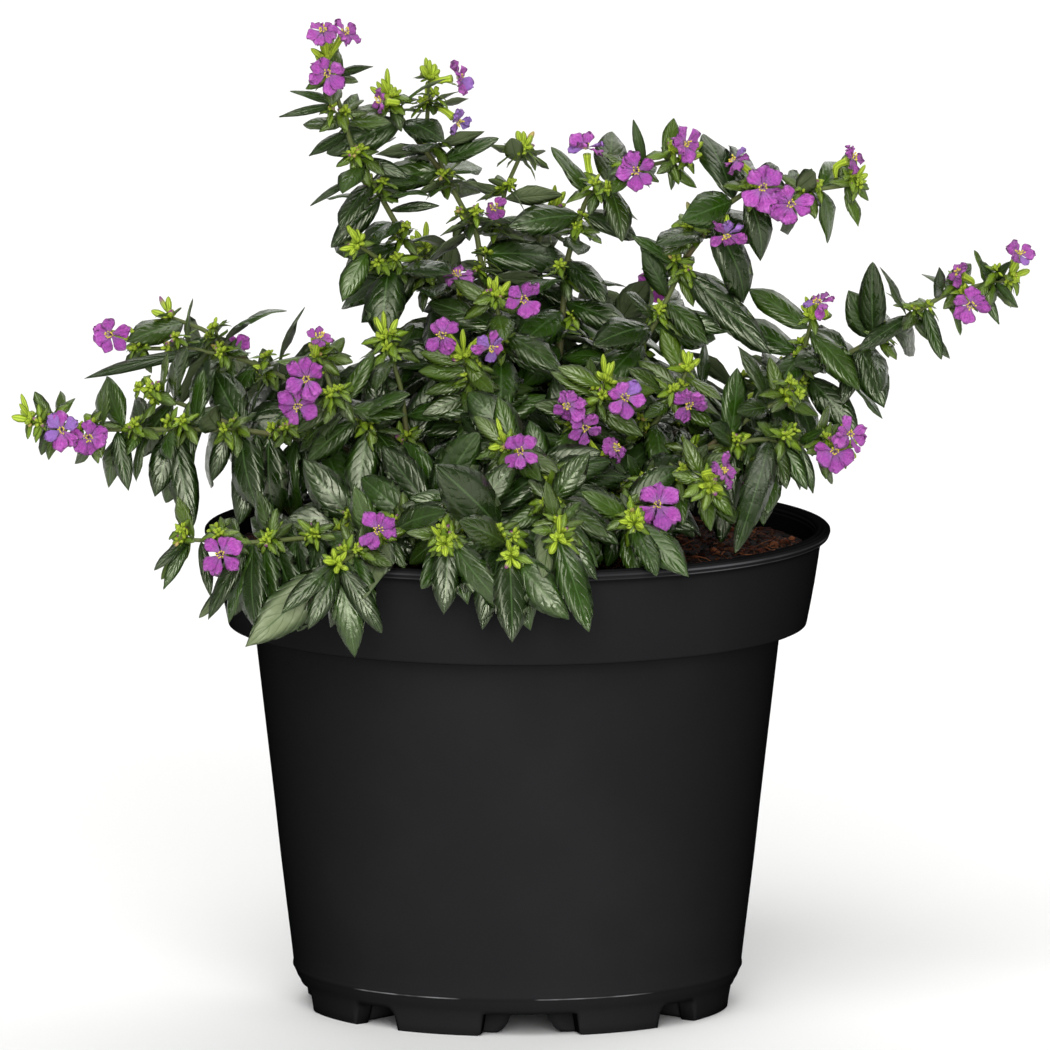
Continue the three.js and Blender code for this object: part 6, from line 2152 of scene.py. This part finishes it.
    def nearest(self, across: float, up: float) -> tuple[int, np.ndarray]:
        """The stem that passes nearest to a place in the front view, seen in front of others.

        Args:
            across: the place's distance to the right.
            up: its height in the view's plane.

        Returns:
            The stem's number, and the nearest few of the tried places on it in order.
        """
        best = (0, UP[None])
        least = math.inf
        for owner, stem in enumerate(self.stems):
            for shoot in stem.shoots:
                path = shoot.at(np.linspace(0, shoot.length - 1, 40))[0]
                off = np.hypot(path[:, 0] - across, seen_height(path) - up) + 0.02 * path[:, 1]
                if off.min() < least:
                    least = off.min()
                    best = (owner, path[np.argsort(off, kind="stable")[: self.seen_starts]])
        return best

    def set_seen(self, owner: int, stem: Growing) -> None:
        """Sets the large leaves of the photo on the stems that pass nearest to their roots.

        Each try starts from the next of the nearest places, and from the third round of
        them on the leaf is shorter. Its tip is drawn nearer to the eye than its root, and
        in front of the lip where it hangs over it.
        """
        for index, seen_leaf in enumerate(SEEN_LEAVES):
            nearest, points = self.nearest(*seen_leaf.root)
            if nearest != owner:
                continue
            draw = Draw(SEED + SEEN_DRAWS + index)
            aside, height = seen_leaf.tip
            over_lip = height < self.over_lip_below and abs(aside) < self.over_lip_aside
            for attempt in range(self.seen_tries):
                point = points[attempt % len(points)]
                reach = 1 - 0.05 * max(0, attempt // self.seen_starts - 1)
                depth = point[1] - 2 - (10 + 0.7 * attempt) * draw()
                if over_lip:
                    lip_front = math.sqrt((LIP_RADIUS + self.lip_clearance) ** 2 - aside**2)
                    depth = min(depth, -lip_front - (4 + 0.7 * attempt) * draw())
                chord = (seen(*seen_leaf.tip, depth) - point) * reach
                length = float(np.linalg.norm(chord))
                chord = chord / length
                rise = 0.0 if over_lip else 0.3
                above = np.array([0.5 * (draw() - 0.5), -1.0, rise + 0.5 * draw()])
                above = unit(above - chord * (above @ chord))
                bend = (0.8 if over_lip else 0.3) + 0.4 * draw()
                half = bend / 2
                along = chord * math.cos(half) + above * math.sin(half)
                above = above * math.cos(half) - chord * math.sin(half)
                length *= half / math.sin(half)
                slimness = self.lip_leaf_slimness if over_lip and not seen_leaf.pale else 1.0
                width = seen_leaf.width * slimness * (0.9 + 0.1 * reach)
                leaf = Leaf(point, along, above, length, width, bend)
                if self.try_organ(leaf, owner, SEEN_SLOT, self.fine_clearance):
                    leaf.tint = draw()
                    if seen_leaf.pale:
                        leaf.along = unit(along - above * math.sin(bend))
                        leaf.above = -unit(above - leaf.along * (above @ leaf.along))
                        leaf.bend = 0.15
                    stem.leaves.append(leaf)
                    break
            else:
                LOG.info("no room for the seen leaf %d", index)

    def hang_leaves(self, owner: int, stem: Growing) -> None:
        """Hangs full leaves down outside the pot from the stems that cross its lip."""
        for number, shoot in enumerate(stem.shoots):
            for index, distance in enumerate(np.arange(self.hang_from, shoot.length, self.hang_step)):
                point = shoot.at(distance)[0]
                reach = math.hypot(point[0], point[1])
                far_off = abs(point[0]) > self.rim_reach or point[1] > -20
                if reach < self.rim_reach or point[2] > self.hang_top or far_off:
                    continue
                slot = number * SLOTS_PER_SHOOT + HANGING_SLOT + index
                draw = Draw(SEED + HANGING_DRAWS + owner * OWNER_STRIDE + slot * SLOT_STRIDE)
                outward = unit(np.array([point[0], point[1], 0.0]))
                level = np.cross(outward, UP)
                reaches_over = 0.25 + 0.09 * max(0.0, LIP_RADIUS - reach)
                for side in (-1, 1, 0):
                    if draw() < 0.08:
                        continue
                    for _attempt in range(self.hang_tries):
                        spread = side * 0.6 + 0.6 * (draw() - 0.5)
                        along = unit(-UP + outward * (reaches_over + 0.6 * draw()) + level * spread)
                        above = unit(outward + UP * 0.15 + level * 0.6 * (draw() - 0.5))
                        above = unit(above - along * (above @ along))
                        length = 21 + 13 * draw()
                        width = length * (0.29 + 0.09 * draw())
                        bend = 0.3 + (0.4 + 0.5 * min(reaches_over, 1.2)) * draw()
                        leaf = Leaf(point + outward * 0.3, along, above, length, width, bend)
                        if self.try_finer(leaf, owner, slot):
                            leaf.tint = draw()
                            if draw() < 0.12:
                                leaf.above = -leaf.above
                                leaf.bend = 0.15
                            stem.leaves.append(leaf)
                            break

    def fill_between(self, owner: int, stem: Growing) -> None:
        """Sets further full leaves between the pairs of the solids, where there is room.

        They stand in more rounds in the low core of the bush than out along the stems.
        """
        for number, shoot in enumerate(stem.shoots):
            places = shoot.leaf_places(number == 0)
            for index, (first, second) in enumerate(zip(places, places[1:] + [shoot.length])):
                here = shoot.at(first)[0]
                in_core = math.hypot(here[0], here[1], here[2] - 150) < self.core_reach
                share = first / shoot.length
                rounds = 2 if share < 0.5 else int(share < 0.8)
                if in_core and here[2] < self.core_top:
                    rounds = self.fill_rounds
                for fill in range(rounds):
                    slot = number * SLOTS_PER_SHOOT + FILL_SLOT + index
                    draw = Draw(SEED + FILL_DRAWS + fill + owner * OWNER_STRIDE + slot * SLOT_STRIDE)
                    distance = first + (second - first) * (fill + 0.5) / rounds
                    for side in (0, 1):
                        turn = owner + (index + 0.5 + 0.4 * fill) * math.pi / 2 + side * math.pi
                        self.fill_place(owner, stem, shoot, distance, turn, slot, draw)

    def fill_place(
        self, owner: int, stem: Growing, shoot: Shoot, distance: float, turn: float, slot: int, draw: Draw
    ) -> None:
        """Tries one further leaf at a place on a shoot, smaller at each try.

        It droops more than the leaves of the solids and turns its face out of the bush.
        """
        point, way = shoot.at(distance)
        light = self.open_side(point)
        for attempt in range(self.fill_tries):
            shrink = 1.14 - 0.09 * attempt
            share = distance / shoot.length
            leaf = drawn_leaf(point, way, share * (0.8 + 0.2 * share), turn + 0.5 * attempt, shrink, draw)
            leaf.width *= 1.08
            leaf.along = unit(leaf.along - UP * (0.1 + 0.4 * draw()))
            aside = np.array([draw(), draw(), draw()]) - 0.5
            above = light + way * 0.25 + aside * 0.7
            leaf.above = unit(above - leaf.along * (above @ leaf.along))
            if self.try_finer(leaf, owner, slot):
                leaf.tint = draw()
                stem.leaves.append(leaf)
                return

    def open_side(self, point: Vector3) -> Vector3:
        """The way out of the bush: to the front, or to the back far behind its middle."""
        side = min(max((point[1] - self.back_parting) / 18, -1.0), 1.0)
        return unit(np.array([0.005 * point[0], 0.85 * side, 0.55]))

    def set_twigs(self, owner: int, stem: Growing) -> None:
        """Sets a tuft of small bright leaves on a short twig in the upper axils."""
        for number, shoot in enumerate(stem.shoots):
            for index, distance in enumerate(shoot.leaf_places(number == 0)):
                share = distance / shoot.length
                point, way = shoot.at(distance + 1.2)
                if share < 0.3 or (share < 0.5 and point[2] < 195):
                    continue
                level, raised = square_to(way)
                for side in (0, 1):
                    slot = number * SLOTS_PER_SHOOT + index
                    draw = Draw(SEED + TWIG_DRAWS + owner * OWNER_STRIDE + slot * SLOT_STRIDE + side)
                    turn = owner + index * math.pi / 2 + side * math.pi + (draw() - 0.5)
                    outward = level * math.cos(turn) + raised * math.sin(turn)
                    along = unit(outward * 0.55 + way * 0.5 + UP * 0.25 + self.open_side(point) * 0.65)
                    reach = self.twig_reach * (0.3 + 0.6 * draw()) * (1 - 0.35 * share)
                    twig = Shoot([point, point + along * reach], self.twig_radius, 0.36)
                    if touches_pot(twig.solid(True)):
                        continue
                    stem.twigs.append(twig)
                    self.dress_twig(owner, stem, twig, slot, draw)

    def dress_twig(self, owner: int, stem: Growing, twig: Shoot, slot: int, draw: Draw) -> None:
        """Sets pairs of small leaves along a twig, smaller and limer towards its end."""
        for pair, (along_twig, size, young) in enumerate(self.twig_pairs):
            here = twig.at(twig.length * along_twig)
            for side in (0, 1):
                turn = pair * math.pi / 2 + side * math.pi + slot
                for attempt in range(self.twig_tries):
                    leaf = drawn_leaf(*here, 0.3, turn, size * (1 - 0.1 * attempt), draw)
                    leaf.young = min(1.0, young + 0.3 * draw())
                    if self.try_finer(leaf, owner, slot):
                        leaf.tint = draw()
                        stem.small_leaves.append(leaf)
                        break

    def bunch_buds(self, owner: int, stem: Growing) -> None:
        """Bunches lime buds, with tiny bracts round them, at tips, twig ends and upper nodes."""
        draw = Draw(SEED + BUNCH_DRAWS + owner * OWNER_STRIDE)
        ends = [(*shoot.at(shoot.length), self.tip_bunch, 0.68) for shoot in stem.shoots]
        ends += [(*twig.at(twig.length), self.twig_bunch, 0.46) for twig in stem.twigs]
        for point, way, count, scale in ends:
            for index, bud in enumerate(drawn_buds(point, way, count, draw() * 6, 1.7, draw)):
                tube = index < 2 and scale > 0.6
                bud.length *= scale * (0.5 + 0.4 * draw()) * (2.1 if tube else 1)
                bud.radius *= 0.94 * scale
                bud.along = unit(bud.along + UP * (1.3 if tube else 0.1))
                bud.tint = draw()
                if not touches_pot(bud.solid(0)):
                    stem.buds.append(bud)
            for index in range(self.bracts):
                turn = index * 1.6 + draw()
                size = scale * (0.26 + 0.18 * draw())
                leaf = drawn_leaf(point, way, 0.3, turn, size, draw)
                leaf.young = 0.75 + 0.25 * draw()
                leaf.tint = draw()
                if not touches_pot(leaf.solid(0)):
                    stem.small_leaves.append(leaf)


@dataclass
class LeafyStem:
    """One leafy stem as a single piece: wood, leaves, twigs, buds and flower tubes."""

    growing: Growing

    def build(self, materials: list[bpy.types.Material], seed: int) -> bpy.types.Object:
        """Makes the piece in its five finishes.

        Args:
            materials: the finishes, in the order of Skin.
            seed: where its flowers' draws start.
        """
        shell = Shell()
        stem = self.growing
        wood = Wood()
        for index, shoot in enumerate(stem.shoots):
            wood.add(shell, shoot, np.array([0.0, 0.9]) if index == 0 else np.array([0.35, 1.0]))
        thin = Wood(step=3.2, sides=5)
        for twig in stem.twigs:
            thin.add(shell, twig, np.array([0.6, 1.0]))
        Foliage().add(shell, stem.leaves)
        SmallFoliage().add(shell, stem.small_leaves)
        BudCluster().add(shell, stem.buds)
        calyx = Wood(step=0.9, sides=12)
        for index, (flower, tube) in enumerate(zip(stem.plan.blooms, stem.tubes)):
            calyx.add_calyx(shell, tube, 0.2)
            if flower.name is None and flower.twin_of is None:
                OpenBloom().add(shell, flower, seed + index)
        return shell.build(stem.plan.name.replace("stem", "leafy_stem"), materials)


@dataclass
class Blossom:
    """The open flowers that stand for one of the frame's blooms."""

    name: str
    flowers: list[Flower]

    def build(self, materials: list[bpy.types.Material], seed: int) -> bpy.types.Object:
        """Makes the piece from its one or two flowers."""
        shell = Shell()
        for index, flower in enumerate(self.flowers):
            OpenBloom().add(shell, flower, seed + index)
        return shell.build(self.name.replace("bloom", "open_bloom"), materials)


def blossoms() -> list[Blossom]:
    """The named flowers, each with its twins."""
    flowers = [flower for plan in LEAFY_STEMS for flower in plan.blooms]
    named = [flower for flower in flowers if flower.name]
    return [
        Blossom(first.name, [first] + [other for other in flowers if other.twin_of == first.name])
        for first in named
    ]


@dataclass
class Studio:
    """A pale floor, broad soft lights and a far camera with a long lens."""

    lens: float = 900.0
    sensor: float = 36.0
    frame_width: float = 0.3355
    target: tuple[float, float, float] = (0.0024, 0.0, 0.1543)
    floor_side: float = 600.0
    floor_shade: Colour = (243, 243, 242)
    surroundings: Colour = (239, 239, 238)
    surroundings_strength: float = 0.26

    def build(self) -> None:
        """Sets the floor, the lights, the surrounding light and the camera."""
        self.add_floor()
        self.add_light("key_light", -20, 50, 44, 1.7)
        self.add_light("front_light", 4, 14, 40, 2.9)
        self.add_light("back_light", 165, 42, 70, 1.7)
        world = bpy.data.worlds.new("soft_surroundings")
        world.use_nodes = True
        background = world.node_tree.nodes["Background"]
        background.inputs["Color"].default_value = linear(self.surroundings)
        background.inputs["Strength"].default_value = self.surroundings_strength
        bpy.context.scene.world = world
        bpy.context.scene.view_settings.view_transform = "Standard"
        self.add_camera()

    def add_floor(self) -> None:
        """Lays the floor as one level sheet under the pot."""
        half = self.floor_side / 2
        mesh = bpy.data.meshes.new("studio_floor")
        corners = [(-half, -half, 0), (half, -half, 0), (half, half, 0), (-half, half, 0)]
        mesh.from_pydata(corners, [], [(0, 1, 2, 3)])
        floor = bpy.data.objects.new("studio_floor", mesh)
        bpy.context.scene.collection.objects.link(floor)
        mix = Mixture("floor_pale", 0.9, 0.1)
        mix.colour(self.floor_shade)
        mesh.materials.append(mix.material)

    def add_light(self, name: str, yaw: float, rise: float, spread: float, power: float) -> None:
        """Hangs one far, broad light.

        Args:
            name: the light's name.
            yaw: where it stands round the plant, 0 in front and positive to the right.
            rise: its height above the horizon, in degrees.
            spread: how wide it looks from the plant, in degrees.
            power: its strength.
        """
        lamp = bpy.data.lights.new(name, "SUN")
        lamp.angle = math.radians(spread)
        lamp.energy = power
        light = bpy.data.objects.new(name, lamp)
        light.rotation_mode = "QUATERNION"
        light.rotation_quaternion = look_along(-facing(yaw, rise))
        bpy.context.scene.collection.objects.link(light)

    def add_camera(self) -> None:
        """Stands the camera where the frame's width at the plant is as asked."""
        back = np.array([0.0, -math.cos(VIEW_TILT), math.sin(VIEW_TILT)])
        distance = self.frame_width * self.lens / self.sensor
        eye = bpy.data.cameras.new("studio_camera")
        eye.lens = self.lens
        eye.sensor_width = self.sensor
        eye.clip_end = 1000.0
        camera = bpy.data.objects.new("studio_camera", eye)
        camera.location = np.array(self.target) + back * distance
        camera.rotation_mode = "QUATERNION"
        camera.rotation_quaternion = look_along(-back)
        bpy.context.scene.collection.objects.link(camera)
        bpy.context.scene.camera = camera


def look_along(way: np.ndarray) -> tuple[float, float, float, float]:
    """The turn that points -Z along a way and keeps Y upward, from its three axes."""
    z = -unit(way)
    x = unit(np.cross(UP, z))
    y = np.cross(z, x)
    w = math.sqrt(max(0.0, 1 + x[0] + y[1] + z[2])) / 2
    if w > 1e-6:
        return (w, (y[2] - z[1]) / (4 * w), (z[0] - x[2]) / (4 * w), (x[1] - y[0]) / (4 * w))
    return (0.0, 0.0, 1.0, 0.0)


def stand_for(piece: bpy.types.Object, node: str) -> None:
    """Attaches a piece to the frame's root and hides the node that it stands for."""
    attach(piece, "root")
    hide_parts(node)
    LOG.info("%s stands for %s: %d faces", piece.name, node, len(piece.data.polygons))


def main() -> None:
    """Builds the studio, the pot, the soil, the leafy stems and the flowers in turn."""
    logging.basicConfig(level=logging.INFO, format="%(message)s")
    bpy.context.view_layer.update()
    Studio().build()
    stand_for(NurseryPot().build(PotFinish().material()), "pot")
    stand_for(PottingSoil().build(PeatFinish().material()), "soil")
    materials = [
        LeafFinish().material(), WoodFinish().material(), BudFinish().material(),
        PetalFinish().material(), StamenFinish().material(),
    ]
    plant = Plant()
    plant.grow()
    for number, growing in enumerate(plant.stems):
        stand_for(LeafyStem(growing).build(materials, 100 * number), growing.plan.name)
    for number, blossom in enumerate(blossoms()):
        stand_for(blossom.build(materials, 5000 + 10 * number), blossom.name)


if __name__ == "__main__":
    main()
